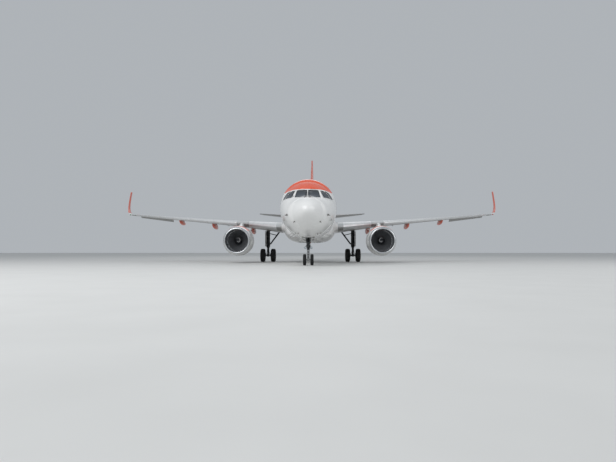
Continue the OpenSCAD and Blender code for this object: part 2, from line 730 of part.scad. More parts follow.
// Fan rotor: spinner, disc and twisted blades.
// Columns: radius, chord, stagger from the axis. The foot is straight where it stands in the hub, and the
// tip stops where its corners reach the fan's radius
tip_blade_chord = 290;
tip_stagger = 62;
BLADE = [[hub_r - 90, 240, 26], [hub_r + 60, 240, 26], [560, 270, 46],
  [sqrt(fan_tip_r^2 - (tip_blade_chord/2*sin(tip_stagger))^2), tip_blade_chord, tip_stagger]];
BLADE_SECTION = [[0.5, 0], [0.12, 0.5], [-0.25, 0.5], [-0.5, 0], [-0.25, -0.4], [0.12, -0.4]];
blade_foot_t = 34;
blade_thinning = 7;
function blade_ring(b, thick) = let (c = b[1], a = b[2])
  [for (p = BLADE_SECTION) let (u = p[0]*c, v = p[1]*thick) [u*sin(a) + v*cos(a), u*cos(a) - v*sin(a), b[0]]];
hub_len = 250;
SPINNER = [[0, -430], [60, -400], [150, -300], [225, -190], [hub_r - 15, -60], [hub_r, 0], [hub_r, hub_len], [0, hub_len]];
fan_shaft_r = 90;

module left_fan() {
  y0 = at(intake_s + fan_back);
  turned_y(engine_x, y0, engine_z, SPINNER);
  translate([engine_x, y0 + hub_len/2, engine_z]) for (i = [0 : blades-1]) rotate([0, i*360/blades, 0])
    loft([for (k = [0 : len(BLADE)-1]) blade_ring(BLADE[k], blade_foot_t - blade_thinning*k)], twisted = true);
  // Shaft into the core
  translate([engine_x, y0 + hub_len - 1, engine_z]) rotate([-90, 0, 0])
    cylinder(r = fan_shaft_r, h = CORE[0][1] - hub_len + 1 - seat, $fn = round_fn);
}
module fan_l() color(dark) left_fan();
module fan_r() color(dark) mirror([1, 0, 0]) left_fan();

// Pylon: a leaf shaped column between the engine and the wing.
// Columns: height above the engine's axis, start behind the intake lip, length
PYLON_LOW = [[350, 2500, 3600], [1060, 1300, 5200]];
// Columns: height above the wing's leading edge, start behind the intake lip, length
PYLON_HIGH = [[-210, 2350, 4300], [20, 3250, 3300]];
core_seat = [[0, 900], [640, 900], [640, 1500], [600, 2300], [480, 3000], [405, 3350], [0, 3350]];

module left_pylon() {
  y0 = at(intake_s);
  wing_le = wing(engine_x, 3);
  function leaf(z, row) = [for (p = foil(pylon_w/row[2], 0, 1))
    [engine_x + p[1]*row[2], y0 + row[1] + p[0]*row[2], z]];
  difference() {
    loft(concat([for (r = PYLON_LOW) leaf(engine_z + r[0], r)], [for (r = PYLON_HIGH) leaf(wing_le + r[0], r)]));
    turned_y(engine_x, y0, engine_z, concat([[0, 0]],
      [for (p = COWL_OUT) [p[0] + seat, p[1]]], [[0, cowl_len]]), cut_fn);
    turned_y(engine_x, at(intake_s + fan_back), engine_z,
      [for (p = core_seat) [p[0] > 0 ? p[0] + seat : 0, p[1]]], cut_fn);
    over_wing();
  }
}
module pylon_l() color(white) left_pylon();
module pylon_r() color(white) mirror([1, 0, 0]) left_pylon();

// NOSE GEAR
nose_y = at(nose_gear_s);
nose_axle_z = nose_tyre_d/2;
nose_axle_r = 42;
nose_tube_r = 62;
nose_rim_d = nose_tyre_d*0.50;

module nose_leg() color(dark) {
  // Barrel up to the bay's roof
  translate([0, nose_y, nose_barrel_z]) cylinder(r = nose_barrel_r, h = bay_roof - seat - nose_barrel_z, $fn = round_fn);
  // Steering collar with its cylinders
  translate([0, nose_y, nose_barrel_z + 160]) cylinder(r = nose_barrel_r + 35, h = 190, $fn = round_fn);
  both_sides() translate([nose_barrel_r + 45, nose_y - 170, nose_barrel_z + 255]) rotate([-90, 0, 0])
    cylinder(r = 38, h = 340, $fn = 24);
  translate([-nose_barrel_r - 60, nose_y - 30, nose_barrel_z + 225]) cube([2*nose_barrel_r + 120, 60, 60]);
  // Trunnion across the bay
  translate([-bay_w/2 + seat, nose_y, bay_roof - 230]) rotate([0, 90, 0])
    cylinder(r = 60, h = bay_w - 2*seat, $fn = 32);
  // Drag strut, forward and up
  for (x = [-110, 110]) bar([x, nose_y - nose_barrel_r + 20, nose_barrel_z + 480],
    [x*1.9, nose_y - bay_len*bay_ahead + 60, nose_barrel_z + 480 + bay_len*0.5], 34);
  translate([-145, nose_y - nose_barrel_r - 10, nose_barrel_z + 440]) cube([290, 100, 80]);
}

module taxi_lamps() color(steel) {
  for (x = [-205, 205]) turned_y(x, nose_y - 185, nose_barrel_z + 130,
    [[0, 0], [70, 0], [80, 15], [80, 60], [45, 120], [0, 130]], 32);
  // Carrier arm behind the lamps
  translate([-205, nose_y - nose_barrel_r - 30, nose_barrel_z + 115]) cube([410, 30 - seat, 30]);
}

module nose_fork() color(steel) {
  // Sliding tube, collar and axle
  translate([0, nose_y, nose_axle_z]) cylinder(r = nose_tube_r, h = nose_barrel_z - seat - nose_axle_z, $fn = round_fn);
  translate([0, nose_y, nose_barrel_z - 95]) cylinder(r = nose_barrel_r + 18, h = 95 - seat, $fn = round_fn);
  translate([-nose_track/2 - nose_tyre_w/2 + 15, nose_y, nose_axle_z]) rotate([0, 90, 0])
    cylinder(r = nose_axle_r, h = nose_track + nose_tyre_w - 30, $fn = round_fn);
  translate([-80, nose_y, nose_axle_z]) rotate([0, 90, 0]) cylinder(r = yoke_r, h = 160, $fn = round_fn);
  // Torque links behind the tube
  knee = [0, nose_y + 330, (nose_axle_z + nose_barrel_z)/2];
  for (x = [-50, 50]) {
    bar([x, nose_y + 60, nose_barrel_z - 60], knee + [x*0.5, 0, 0], 22);
    bar([x, nose_y + 50, nose_axle_z + 70], knee + [x*0.5, 0, 0], 22);
  }
  translate(knee - [55, 0, 0]) rotate([0, 90, 0]) cylinder(r = 30, h = 110, $fn = 24);
}

// Tow fitting: a flat eye on a plate ahead of the axle's yoke, for a tow bar's upright pin
yoke_r = 78;
tow_eye_r = 20;
tow_lug_r = 48;
tow_lug_t = 60;
tow_reach = 175;
plate_t = 24;
plate_w = 150;
plate_h = 120;
module tow_fitting() color(steel) {
  plate_y = nose_y - yoke_r - seat - plate_t;
  lug_z = nose_axle_z - tow_lug_t/2;
  difference() {
    union() {
      translate([0, nose_y - tow_reach, lug_z]) cylinder(r = tow_lug_r, h = tow_lug_t, $fn = round_fn);
      translate([-tow_lug_r, nose_y - tow_reach, lug_z])
        cube([2*tow_lug_r, plate_y + plate_t/2 - nose_y + tow_reach, tow_lug_t]);
    }
    translate([0, nose_y - tow_reach, lug_z - 1]) cylinder(r = tow_eye_r, h = tow_lug_t + 2, $fn = round_fn);
  }
  translate([-plate_w/2, plate_y, nose_axle_z - plate_h/2]) cube([plate_w, plate_t, plate_h]);
}

// Wheel pair about an axle along X at [x, y, z]; r is the radius of the rim under the tyre
flange = 10;
module rim_pair(x, y, z, track, w, r, bore, in_w) for (m = [0, 1])
  translate([x, y, z]) mirror([m, 0, 0]) translate([track/2, 0, 0]) rotate([0, 90, 0]) rotate_extrude($fn = round_fn)
    polygon([[bore, -in_w/2], [r*0.62, -w*0.30], [r*0.80, -w*0.42], [r + flange, -w*0.42],
      [r + flange, -w*0.36], [r, -w*0.36], [r, w*0.36], [r + flange, w*0.36], [r + flange, w*0.42],
      [r*0.84, w*0.42], [r*0.70, w*0.20], [r*0.42, w*0.12], [r*0.30, in_w/2], [bore, in_w/2]]);

// Tyre over its rim: beads, round side walls and shoulders, and a flat tread
function tyre_half(w, r_out, r_in) = let (wall = r_out - r_in) [
  [r_in, w*0.36 - seat], [r_in + flange, w*0.36 - seat], [r_in + flange, w*0.42], [r_in + wall*0.22, w*0.475],
  [r_in + wall*0.45, w*0.5], [r_in + wall*0.68, w*0.475], [r_in + wall*0.88, w*0.40], [r_in + wall*0.97, w*0.31],
  [r_out, w*0.20]];
function tyre_outline(w, r_out, r_in) = let (half = tyre_half(w, r_out, r_in))
  concat([for (p = half) [p[0], -p[1]]], [for (i = [len(half)-1 : -1 : 0]) half[i]]);
module tyre_pair(x, y, z, track, w, r_out, r_in) for (m = [0, 1])
  translate([x, y, z]) mirror([m, 0, 0]) translate([track/2, 0, 0]) rotate([0, 90, 0]) rotate_extrude($fn = round_fn)
    polygon(tyre_outline(w, r_out, r_in + seat));

module nose_rims() color(steel)
  rim_pair(0, nose_y, nose_axle_z, nose_track, nose_tyre_w, nose_rim_d/2, nose_axle_r + run_fit, nose_tyre_w*0.8);
module nose_tyres() color(black)
  tyre_pair(0, nose_y, nose_axle_z, nose_track, nose_tyre_w, nose_tyre_d/2, nose_rim_d/2);

// Doors of the nose-wheel bay. The rear pair stands open: a hinge strip inside each edge and a leaf that
// hangs from it. The front pair has closed again behind the drag strut and follows the skin
door_t = 26;
door_len = 480;
door_drop = 330;
door_splay = 14;
hinge_strip_h = 130;
door_behind_leg = 80;
front_door_end = 570; // how far ahead of the leg the closed doors end
front_door_t = 40;
leaf_gap = 3;
leaf_inset = 4; // leaf's edges inside the strip's
module rear_bay_door() {
  x = bay_w/2 - seat - door_t;
  y = nose_y + door_behind_leg;
  low = fus_bottom + 20;
  translate([x, y, low]) cube([door_t, door_len, hinge_strip_h]);
  translate([x + door_t - leaf_inset, y + leaf_inset, low]) rotate([0, -door_splay, 0])
    translate([-door_t, 0, -door_drop]) cube([door_t - leaf_inset, door_len - 2*leaf_inset, door_drop + door_t]);
}
module nose_doors() color(white) {
  both_sides() rear_bay_door();
  bay_front = at(nose_gear_s - bay_len*bay_ahead);
  intersection() {
    difference() {
      fus_loft(front_stations);
      fus_loft(front_stations, front_door_t);
    }
    both_sides() translate([leaf_gap, bay_front + seat, 0])
      cube([bay_w/2 - seat - leaf_gap, nose_y - front_door_end - bay_front - seat, bay_roof - fus_h/8]);
  }
}

// MAIN GEAR
main_y = at(main_gear_s);
main_axle_z = main_tyre_d/2;
main_axle_r = 70;
main_tube_r = 92;
main_rim_d = main_tyre_d*0.46;
main_rim_in_w = main_tyre_w*0.7;
leg_top = wing_under(main_gear_x, (main_gear_s - wing(main_gear_x, 1))/wing(main_gear_x, 2))[2];

// Brake unit beside each main wheel, clear of the turning rim
brake_t = 95;
brake_gap = 8;
brake_x = main_track/2 - main_rim_in_w/2 - brake_gap - brake_t;
brake_r = main_rim_d*0.3;

module left_main_leg() {
  g = main_gear_x;
  difference() {
    union() {
      translate([g, main_y, main_barrel_z]) cylinder(r = main_barrel_r, h = leg_top + 500 - main_barrel_z, $fn = round_fn);
      // Trunnion under the wing
      translate([g, main_y - 420, leg_top - 60]) rotate([-90, 0, 0]) cylinder(r = 110, h = 840, $fn = 32);
    }
    over_wing();
  }
  translate([g, main_y, main_axle_z]) cylinder(r = main_tube_r, h = main_barrel_z - main_axle_z + 1, $fn = round_fn);
  // Axle and its yoke
  translate([g - main_track/2 - main_tyre_w/2 + 40, main_y, main_axle_z]) rotate([0, 90, 0])
    cylinder(r = main_axle_r, h = main_track + main_tyre_w - 80, $fn = round_fn);
  translate([g - 110, main_y, main_axle_z]) rotate([0, 90, 0]) cylinder(r = 120, h = 220, $fn = round_fn);
  for (m = [0, 1]) translate([g, main_y, main_axle_z]) mirror([m, 0, 0]) translate([brake_x, 0, 0])
    rotate([0, 90, 0]) cylinder(r = brake_r, h = brake_t, $fn = round_fn);
  // Torque links behind the leg
  knee = [g, main_y + 430, (main_axle_z + main_barrel_z)/2 + 40];
  for (x = [-70, 70]) {
    bar([g + x, main_y + 90, main_barrel_z + 120], knee + [x*0.5, 0, 0], 30);
    bar([g + x, main_y + 60, main_axle_z + 60], knee + [x*0.5, 0, 0], 30);
  }
  translate(knee - [75, 0, 0]) rotate([0, 90, 0]) cylinder(r = 38, h = 150, $fn = 24);
}
module main_leg_l() color(dark) left_main_leg();
module main_leg_r() color(dark) mirror([1, 0, 0]) left_main_leg();

// Folding side stay towards the fuselage, with its lock link
stay_foot = [main_gear_x - main_barrel_r - 45, main_y, 1600];
stay_head = [2650, main_y, 2850];
stay_r = 65;
lock_r = 34;
lock_share = 0.62; // where the lock link meets the stay
lock_top = 2560;
stay_lug = [80, 140, 120];
module left_stay() {
  difference() {
    union() {
      bar(stay_foot, stay_head, stay_r);
      bar(stay_foot + lock_share*(stay_head - stay_foot), [main_gear_x, main_y, lock_top], lock_r);
      translate([stay_foot[0] - 10, main_y - stay_lug[1]/2, stay_foot[2] - stay_lug[2]/2]) cube(stay_lug);
    }
    // Stay, lock link and lug all end at the leg's barrel
    translate([main_gear_x, main_y, main_barrel_z]) cylinder(r = main_barrel_r + seat, h = leg_top, $fn = round_fn);
    over_wing();
    barrel(seat, belly_start, belly_start + belly_len);
  }
}
module main_stays() color(dark) both_sides() left_stay();

// Door carried outboard of each leg
leg_door_t = 28;
leg_door_len = 960;
leg_door_h = 1360;
leg_door_out = 40; // from the barrel
leg_door_up = 40;  // above the barrel's lower end
leg_door_arm = [80, 60];
leg_door_arms = [300, 1100];
module main_leg_doors() color(white) both_sides() {
  x = main_gear_x + main_barrel_r;
  translate([x + leg_door_out, main_y - leg_door_len/2, main_barrel_z + leg_door_up])
    cube([leg_door_t, leg_door_len, leg_door_h]);
  for (z = leg_door_arms) translate([x + seat, main_y - leg_door_arm[0]/2, main_barrel_z + z])
    cube([leg_door_out + leg_door_t/4, leg_door_arm[0], leg_door_arm[1]]);
}

module main_rims_l() color(steel) rim_pair(main_gear_x, main_y, main_axle_z, main_track, main_tyre_w,
  main_rim_d/2, main_axle_r + run_fit, main_rim_in_w);
module main_rims_r() color(steel) mirror([1, 0, 0]) main_rims_l();
module main_tyres_l() color(black)
  tyre_pair(main_gear_x, main_y, main_axle_z, main_track, main_tyre_w, main_tyre_d/2, main_rim_d/2);
module main_tyres_r() color(black) mirror([1, 0, 0]) main_tyres_l();

// Jacking pads under the front fuselage and the wings, each with a bore for the jack's spigot
jack_bore_r = 20;
jack_depth = 40;
jack_pad_r = 60;
jack_pad_h = 60;
jack_front_s = 8200;
jack_wing_x = 7300;
keel_z = fus_axis_z - fus_h/2*cos(180/ring_points);
jack_front = [0, at(jack_front_s), keel_z - seat - jack_pad_h];
jack_wing = wing_under(jack_wing_x, 0.5) - [0, 0, jack_pad_h];
module jack_pad(p, h) translate(p) difference() {
  cylinder(r = jack_pad_r, h = h, $fn = round_fn);
  translate([0, 0, -1]) cylinder(r = jack_bore_r, h = jack_depth + 1, $fn = round_fn);
}
module jack_pads() color(steel) {
  jack_pad(jack_front, jack_pad_h);
  both_sides() difference() {
    jack_pad(jack_wing, 2*jack_pad_h);
    over_wing();
  }
}

// Blade antennas on the crown and the keel
crown_z = fus_axis_z + fus_h/2*cos(180/ring_points);
antenna_stations = [9500, 15500];
ANTENNA = [[0, 0], [380, 0], [360, 300], [200, 300]];
antenna_t = 24;
module antennas() color(white) {
  for (s = antenna_stations) translate([0, at(s), crown_z + seat])
    rotate([90, 0, 90]) linear_extrude(antenna_t, center = true) polygon(ANTENNA);
}

radome();
cockpit_section();
cockpit_glass();
front_fuselage();
fuselage_barrel();
rear_fuselage();
tail_cone();
belly_fairing();
wing_l();
wing_r();
winglet_l();
winglet_r();
slats();
flaps();
flap_fairings();
aileron_l();
aileron_r();
fin();
rudder();
tailplane();
elevator_l();
elevator_r();
pylon_l();
pylon_r();
nacelle_l();
nacelle_r();
engine_core_l();
engine_core_r();
fan_l();
fan_r();
nose_leg();
taxi_lamps();
nose_fork();
tow_fitting();
nose_rims();
nose_tyres();
nose_doors();
main_leg_l();
main_leg_r();
main_stays();
main_leg_doors();
main_rims_l();
main_rims_r();
main_tyres_l();
main_tyres_r();
jack_pads();
antennas();
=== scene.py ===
# %% [markdown]
# # A single-aisle passenger jet, standing on its wheels
# The frame holds the jet's solids in metres: the nose points to -Y, +X is its left side and the tyres
# stand on z = 0. This lesson mixes the finishes, lays smooth skins over the solids, adds the small pieces
# that a walk round the jet shows, and sets up the studio last.
# %% Load the frame
import json
import math
from functools import partial
import bpy
from mathutils import Matrix, Vector


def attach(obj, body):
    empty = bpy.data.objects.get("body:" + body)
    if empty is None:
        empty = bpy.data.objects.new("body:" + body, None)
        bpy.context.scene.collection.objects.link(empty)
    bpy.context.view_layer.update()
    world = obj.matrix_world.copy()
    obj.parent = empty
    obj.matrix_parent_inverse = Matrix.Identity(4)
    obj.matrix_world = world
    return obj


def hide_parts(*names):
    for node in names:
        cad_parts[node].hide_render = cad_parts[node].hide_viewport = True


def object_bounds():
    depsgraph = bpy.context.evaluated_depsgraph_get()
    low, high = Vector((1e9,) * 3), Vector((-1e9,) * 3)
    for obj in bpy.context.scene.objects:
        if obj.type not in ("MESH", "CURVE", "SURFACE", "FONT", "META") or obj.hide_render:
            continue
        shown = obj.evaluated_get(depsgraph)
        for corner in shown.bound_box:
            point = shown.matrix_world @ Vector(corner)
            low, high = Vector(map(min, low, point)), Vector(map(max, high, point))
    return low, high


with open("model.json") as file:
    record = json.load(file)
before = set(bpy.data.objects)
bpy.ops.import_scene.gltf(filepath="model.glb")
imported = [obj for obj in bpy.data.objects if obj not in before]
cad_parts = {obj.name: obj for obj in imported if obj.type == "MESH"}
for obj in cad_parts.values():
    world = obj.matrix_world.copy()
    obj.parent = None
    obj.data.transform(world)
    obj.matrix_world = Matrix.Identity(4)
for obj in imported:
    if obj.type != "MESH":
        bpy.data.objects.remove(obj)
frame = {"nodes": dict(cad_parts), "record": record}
cad_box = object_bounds()
bodies = frame["record"]["behaviour"]["bodies"]
body_of_node = {node: body for body, nodes in bodies.items() for node in nodes}
NOSE_Y = cad_box[0][1]


def station(metres):
    """The Y of a distance aft of the nose tip."""
    return NOSE_Y + metres


print("nodes:", len(frame["nodes"]), "box:", [[round(c, 3) for c in corner] for corner in cad_box])

# %% [markdown]
# ## Hands
# Every operator acts on what is selected, so each job starts with nothing selected and one active piece.
# %% Starting, selecting and editing a piece
def start(name, primitive, location=(0, 0, 0), **settings):
    """Starts a piece from a primitive and names it."""
    bpy.ops.object.select_all(action="DESELECT")
    primitive(location=location, **settings)
    piece = bpy.context.active_object
    piece.name = piece.data.name = name
    return piece


def only(piece):
    bpy.ops.object.select_all(action="DESELECT")
    piece.select_set(True)
    bpy.context.view_layer.objects.active = piece


def edit(piece, *steps):
    """Runs edit-mode steps on a piece, with everything in it selected first."""
    only(piece)
    bpy.ops.object.mode_set(mode="EDIT")
    bpy.ops.mesh.select_all(action="SELECT")
    for step in steps:
        step()
    bpy.ops.object.mode_set(mode="OBJECT")


def pick(piece, test, kind="FACE"):
    """Selects the faces or edges whose middle and normal pass a test, in edit mode."""
    only(piece)
    bpy.ops.object.mode_set(mode="EDIT")
    bpy.ops.mesh.select_mode(type=kind)
    bpy.ops.mesh.select_all(action="DESELECT")
    bpy.ops.object.mode_set(mode="OBJECT")
    mesh = piece.data
    if kind == "FACE":
        for face in mesh.polygons:
            face.select = test(face.center, face.normal)
    else:
        for edge in mesh.edges:
            a, b = (mesh.vertices[i].co for i in edge.vertices)
            edge.select = test((a + b) / 2, b - a)
    bpy.ops.object.mode_set(mode="EDIT")


# %% Copying, joining and finishing pieces
def settle(piece, angle=35):
    """Puts the piece's place into its mesh and smooths its shading up to an angle."""
    only(piece)
    bpy.ops.object.transform_apply(location=True, rotation=True, scale=True)
    bpy.ops.object.shade_smooth_by_angle(angle=math.radians(angle))
    return piece


def modify(piece, kind, **settings):
    only(piece)
    modifier = piece.modifiers.new(kind.title(), kind)
    for key, value in settings.items():
        setattr(modifier, key, value)
    bpy.ops.object.modifier_apply(modifier=modifier.name)


def joined(name, pieces):
    """Joins finished pieces into one."""
    bpy.ops.object.select_all(action="DESELECT")
    for piece in pieces:
        piece.select_set(True)
    bpy.context.view_layer.objects.active = pieces[0]
    if len(pieces) > 1:
        bpy.ops.object.join()
    piece = bpy.context.view_layer.objects.active
    piece.name = piece.data.name = name
    return piece


def moved(piece, matrix):
    """Moves a piece's mesh and leaves its object at the origin."""
    piece.data.transform(matrix)
    piece.data.update()
    return piece


def copied(piece, matrix):
    """A copy with its own mesh, moved by a matrix."""
    twin = piece.copy()
    twin.data = piece.data.copy()
    bpy.context.collection.objects.link(twin)
    return moved(twin, matrix)


def mirrored(piece, name):
    """The same piece on the other side of the jet, its faces turned outwards again."""
    twin = copied(piece, Matrix.Scale(-1, 4, (1, 0, 0)))
    twin.name = twin.data.name = name
    twin.data.flip_normals()
    return twin


def dress(piece, body, material):
    """Gives a piece its finish and the body that it moves with."""
    piece.data.materials.clear()
    piece.data.materials.append(material)
    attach(piece, body)
    return piece


def complete(name, parts, material, body="airframe", angle=35):
    """Joins the parts of one piece, settles it and dresses it."""
    return dress(settle(joined(name, parts), angle), body, material)


def drop(piece):
    """Removes a pattern that has been copied."""
    bpy.data.objects.remove(piece, do_unlink=True)


# %% [markdown]
# ## Finishes
# Colours are written as painters and web pages write them, in sRGB, and turned to the linear light that
# the shader counts in. One function adds a shader node with its settings and its inputs. Each finish gets
# it with its own material filled in, under the name `put`.
# %% Colour and node helpers
def linear(code):
    parts = [int(code[i:i + 2], 16) / 255 for i in (1, 3, 5)]
    return [c / 12.92 if c <= 0.04045 else ((c + 0.055) / 1.055) ** 2.4 for c in parts] + [1.0]


def add(material, kind, *values, inputs=None, output=0, **settings):
    """Adds one node and gives back its output. Values go to its inputs in order, or by name in `inputs`.

    A kind such as "Math:ADD" gives the node's operation too.
    """
    tree = material.node_tree
    kind, _, operation = kind.partition(":")
    made = tree.nodes.new("ShaderNode" + kind)
    if operation:
        made.operation = operation
    for key, value in settings.items():
        setattr(made, key, value)
    for key, value in [*enumerate(values), *(inputs or {}).items()]:
        if isinstance(value, bpy.types.NodeSocket):
            tree.links.new(value, made.inputs[key])
        else:
            made.inputs[key].default_value = value
    return made.outputs[output]


def finish_named(name, code, roughness, metallic=0.0, **constants):
    """A material with its constant values on the shader's own sockets, its shader, and `put`."""
    material = bpy.data.materials.new(name)
    material.use_nodes = True
    shader = material.node_tree.nodes["Principled BSDF"]
    constants.update(Base_Color=linear(code), Roughness=roughness, Metallic=metallic)
    for key, value in constants.items():
        shader.inputs[key.replace("_", " ")].default_value = value
    return material, shader, partial(add, material)


def feed(shader, **sources):
    """Links outputs of other nodes to the shader's sockets."""
    for key, source in sources.items():
        shader.id_data.links.new(source, shader.inputs[key.replace("_", " ")])


def place(put):
    """Object coordinates in metres, and each of them by itself."""
    at = put("TexCoord", output="Object")
    return at, put("SeparateXYZ", at).node.outputs


# %% Patterns that several finishes use
# A share is 1 where a pattern is there and 0 where it isn't.
def line_every(put, value, pitch, width):
    """The share of a line wherever the value passes a multiple of the pitch."""
    away = put("Math:PINGPONG", value, pitch / 2)
    off_line = put("Math:DIVIDE", away, width / 2)
    return put("Math:SUBTRACT", 1.0, put("Math:SMOOTH_MIN", off_line, 1.0, 0.2))


def near(put, value, middle, outside, inside):
    """The share of a band about a middle, full up to `inside` from it and gone at `outside`."""
    away = put("Math:ABSOLUTE", put("Math:SUBTRACT", value, middle))
    return put("MapRange", away, outside, inside)


def from_axis(put, across, up):
    """The distance from an axis, by the distances across and up."""
    squares = [put("Math:POWER", part, 2.0) for part in (across, up)]
    return put("Math:SQRT", put("Math:ADD", *squares))


def film_of(put, at, scale, low, high):
    """The share of a thin road film: soft patches that are stretched along the airflow."""
    stretched = put("Mapping", inputs={"Vector": at, "Scale": (1.0, 0.18, 1.0)})
    noise = put("TexNoise", inputs={"Vector": stretched, "Scale": scale, "Detail": 5.0, "Roughness": 0.6})
    return put("MapRange", noise, low, high)


def coats(put, base, *layers):
    """Lays coats over a base colour. A coat is its share, its strength and its colour."""
    for share, strength, colour in layers:
        if strength < 1:
            share = put("Math:MULTIPLY", share, strength)
        base, colour = (linear(c) if isinstance(c, str) else c for c in (base, colour))
        base = put("Mix", share, inputs={6: base, 7: colour}, output=2, data_type="RGBA")
    return base


def sunk(put, joints, strength):
    """Normals for a surface that dips a few millimetres where a joint is."""
    depth = put("Math:MULTIPLY", joints, -1.0)
    return put("Bump", inputs={"Height": depth, "Strength": strength, "Distance": 0.003})


# %% [markdown]
# ### The fuselage's paint
# Aircraft skin is aluminium sheet under polyurethane topcoat: hard, glossy, very even, with a thin dark
# line wherever two sheets meet. The sheets meet at frames across the body and at lap joints along it.
# Real joints are 2 to 3 mm wide; they are drawn 8 mm wide here, or they would not show from 30 metres.
# The crown is coated orange-red down to shoulder height, and that line steps over the windscreen.
# %% White topcoat with an orange-red crown
WHITE = "#E4E4E3"
ORANGE_RED = "#DE5A3A"
JOINT_WIDTH = 0.008
PAINT_EDGE = 0.006  # half of the blend between two paints
# The crown's lower edge: station and height, over the windscreen, down behind it, and level along the cabin
CROWN = ((0.0, 4.93), (2.9, 4.93), (3.3, 4.86), (3.9, 4.80), (5.0, 4.95), (7.0, 5.10), (10.0, 5.13))
CROWN_LENGTH, CROWN_BASE = 10.0, 4.5  # the curve node counts both from 0 to 1
AXIS_HEIGHT = 3.90  # of the barrel's middle
FRAME_PITCH = 2.132  # four window bays

topcoat, shader, put = finish_named("polyurethane_topcoat_white", WHITE, 0.22, Coat_Weight=0.25, Coat_Roughness=0.08)
at, (x, y, z) = place(put)
frames = line_every(put, y, FRAME_PITCH, JOINT_WIDTH)
angle = put("Math:ARCTAN2", x, put("Math:SUBTRACT", z, AXIS_HEIGHT))
laps = put("Math:MULTIPLY", line_every(put, angle, math.radians(45), 0.004), 0.8)
joints = put("Math:MAXIMUM", frames, laps)
aft = put("Math:DIVIDE", put("Math:SUBTRACT", y, NOSE_Y), CROWN_LENGTH)
edge = put("FloatCurve", inputs={"Value": aft})
crown = edge.node.mapping.curves[0]
for (along, height), point in zip(CROWN, crown.points[:]):
    point.location = (along / CROWN_LENGTH, height - CROWN_BASE)
for along, height in CROWN[2:]:
    crown.points.new(along / CROWN_LENGTH, height - CROWN_BASE)
edge.node.mapping.update()
over_edge = put("Math:SUBTRACT", z, put("Math:ADD", edge, CROWN_BASE))
red = put("MapRange", over_edge, -PAINT_EDGE, PAINT_EDGE)
belly = put("MapRange", z, 2.9, 1.7, 0.05, 0.4)
film = put("Math:MULTIPLY", film_of(put, at, 1.3, 0.52, 0.9), belly)
feed(shader, Normal=sunk(put, joints, 0.5),
     Base_Color=coats(put, WHITE, (red, 1, ORANGE_RED), (film, 1, "#8C8880"), (joints, 0.45, "#6E7072")))
print("crown's edge points:", len(crown.points))

# %% [markdown]
# ### The wings' paint
# Wings are coated light grey, which hides soot and hydraulic fluid. Their joints run along the span and
# across it, so the pattern uses a coordinate that follows the sweep of the leading edge. A thin film of
# exhaust and brake dust that rain never washes off lies over them in soft patches. Undersides are painted
# darker, as painted shade: each piece carries an attribute that says how far a spot faces down, and the paint reads
# it.
# %% Grey topcoat
def grey_topcoat(name, code, sweep_deg, pitch_span, pitch_chord):
    material, shader, put = finish_named(name, code, 0.32, Coat_Weight=0.1, Coat_Roughness=0.15)
    at, (x, y, z) = place(put)
    sweep = math.tan(math.radians(sweep_deg))
    swept = put("Math:MULTIPLY", put("Math:ABSOLUTE", x), sweep)
    along = put("Math:SUBTRACT", y, swept)
    across = line_every(put, x, pitch_span, JOINT_WIDTH)
    joints = put("Math:MAXIMUM", across, line_every(put, along, pitch_chord, JOINT_WIDTH))
    film = film_of(put, at, 0.9, 0.5, 0.95)
    # Painted shade: the undersides are darkened by an attribute that says how far each spot faces down.
    painted_underside_shade = put("Attribute", output="Fac", attribute_name="underside")
    feed(shader, Normal=sunk(put, joints, 0.5),
         Base_Color=coats(put, code, (film, 0.35, "#6F6C66"), (painted_underside_shade, 0.75, "#75726E"), (joints, 0.5, "#54575A")))
    return material


wing_topcoat = grey_topcoat("polyurethane_topcoat_grey", "#BFC2C3", 24.0, 1.28, 0.94)
tail_topcoat = grey_topcoat("polyurethane_topcoat_tail_grey", "#A9ACAE", 31.0, 1.05, 0.86)

# %% [markdown]
# ### Red shells, bare metals and enamels
# The fin, winglets and flap-track fairings are composite shells in the crown's orange-red. Slats are bare
# etched aluminium. Gear legs are steel under grey enamel, with wet-looking grease and brake dust in soft
# patches. Each family is one function, because its members differ only in colours, gloss and dirt.
# %% Red composite shells
NO_JOINTS = 40.0  # a pitch so long that no line falls on the shell


def red_shell(name, pitch_z, white_below=0.0):
    material, shader, put = finish_named(name, ORANGE_RED, 0.25, Coat_Weight=0.25, Coat_Roughness=0.08)
    at, (x, y, z) = place(put)
    middle_line = line_every(put, x, NO_JOINTS, 0.006)
    joints = put("Math:MAXIMUM", middle_line, line_every(put, z, pitch_z, JOINT_WIDTH))
    film = film_of(put, at, 1.1, 0.55, 0.95)
    red = put("MapRange", z, white_below - PAINT_EDGE, white_below + PAINT_EDGE)
    feed(shader, Normal=sunk(put, joints, 0.4),
         Base_Color=coats(put, WHITE, (red, 1, ORANGE_RED), (film, 0.22, "#7A3A2C"), (joints, 0.45, "#6A2A1C")))
    return material


fin_shell = red_shell("composite_shell_red", 1.52)
fairing_shell = red_shell("composite_fairing_red", NO_JOINTS)
winglet_shell = red_shell("composite_winglet_red", NO_JOINTS, 4.62)


# %% Bare metals
def bare_metal(name, code, roughness, grain=0.0, stain=0.2, stain_code="#55504A", scale=3.0, metallic=1.0):
    """Metal with soft stains, which also dull it, and with a fine grain if it is cast or worn."""
    material, shader, put = finish_named(name, code, roughness, metallic)
    at, parts = place(put)
    noise = put("TexNoise", inputs={"Vector": at, "Scale": scale, "Detail": 6.0, "Roughness": 0.62})
    stained = put("MapRange", noise, 0.45, 0.8, 0.0, stain)
    feed(shader, Base_Color=coats(put, code, (stained, 1, stain_code)),
         Roughness=put("MapRange", noise, 0.3, 0.8, roughness * 0.8, min(1.0, roughness * 1.5)))
    if grain:
        fine = put("TexNoise", inputs={"Vector": at, "Scale": scale * 30, "Detail": 3.0})
        feed(shader, Normal=put("Bump", inputs={"Height": fine, "Strength": grain, "Distance": 0.002}))
    return material


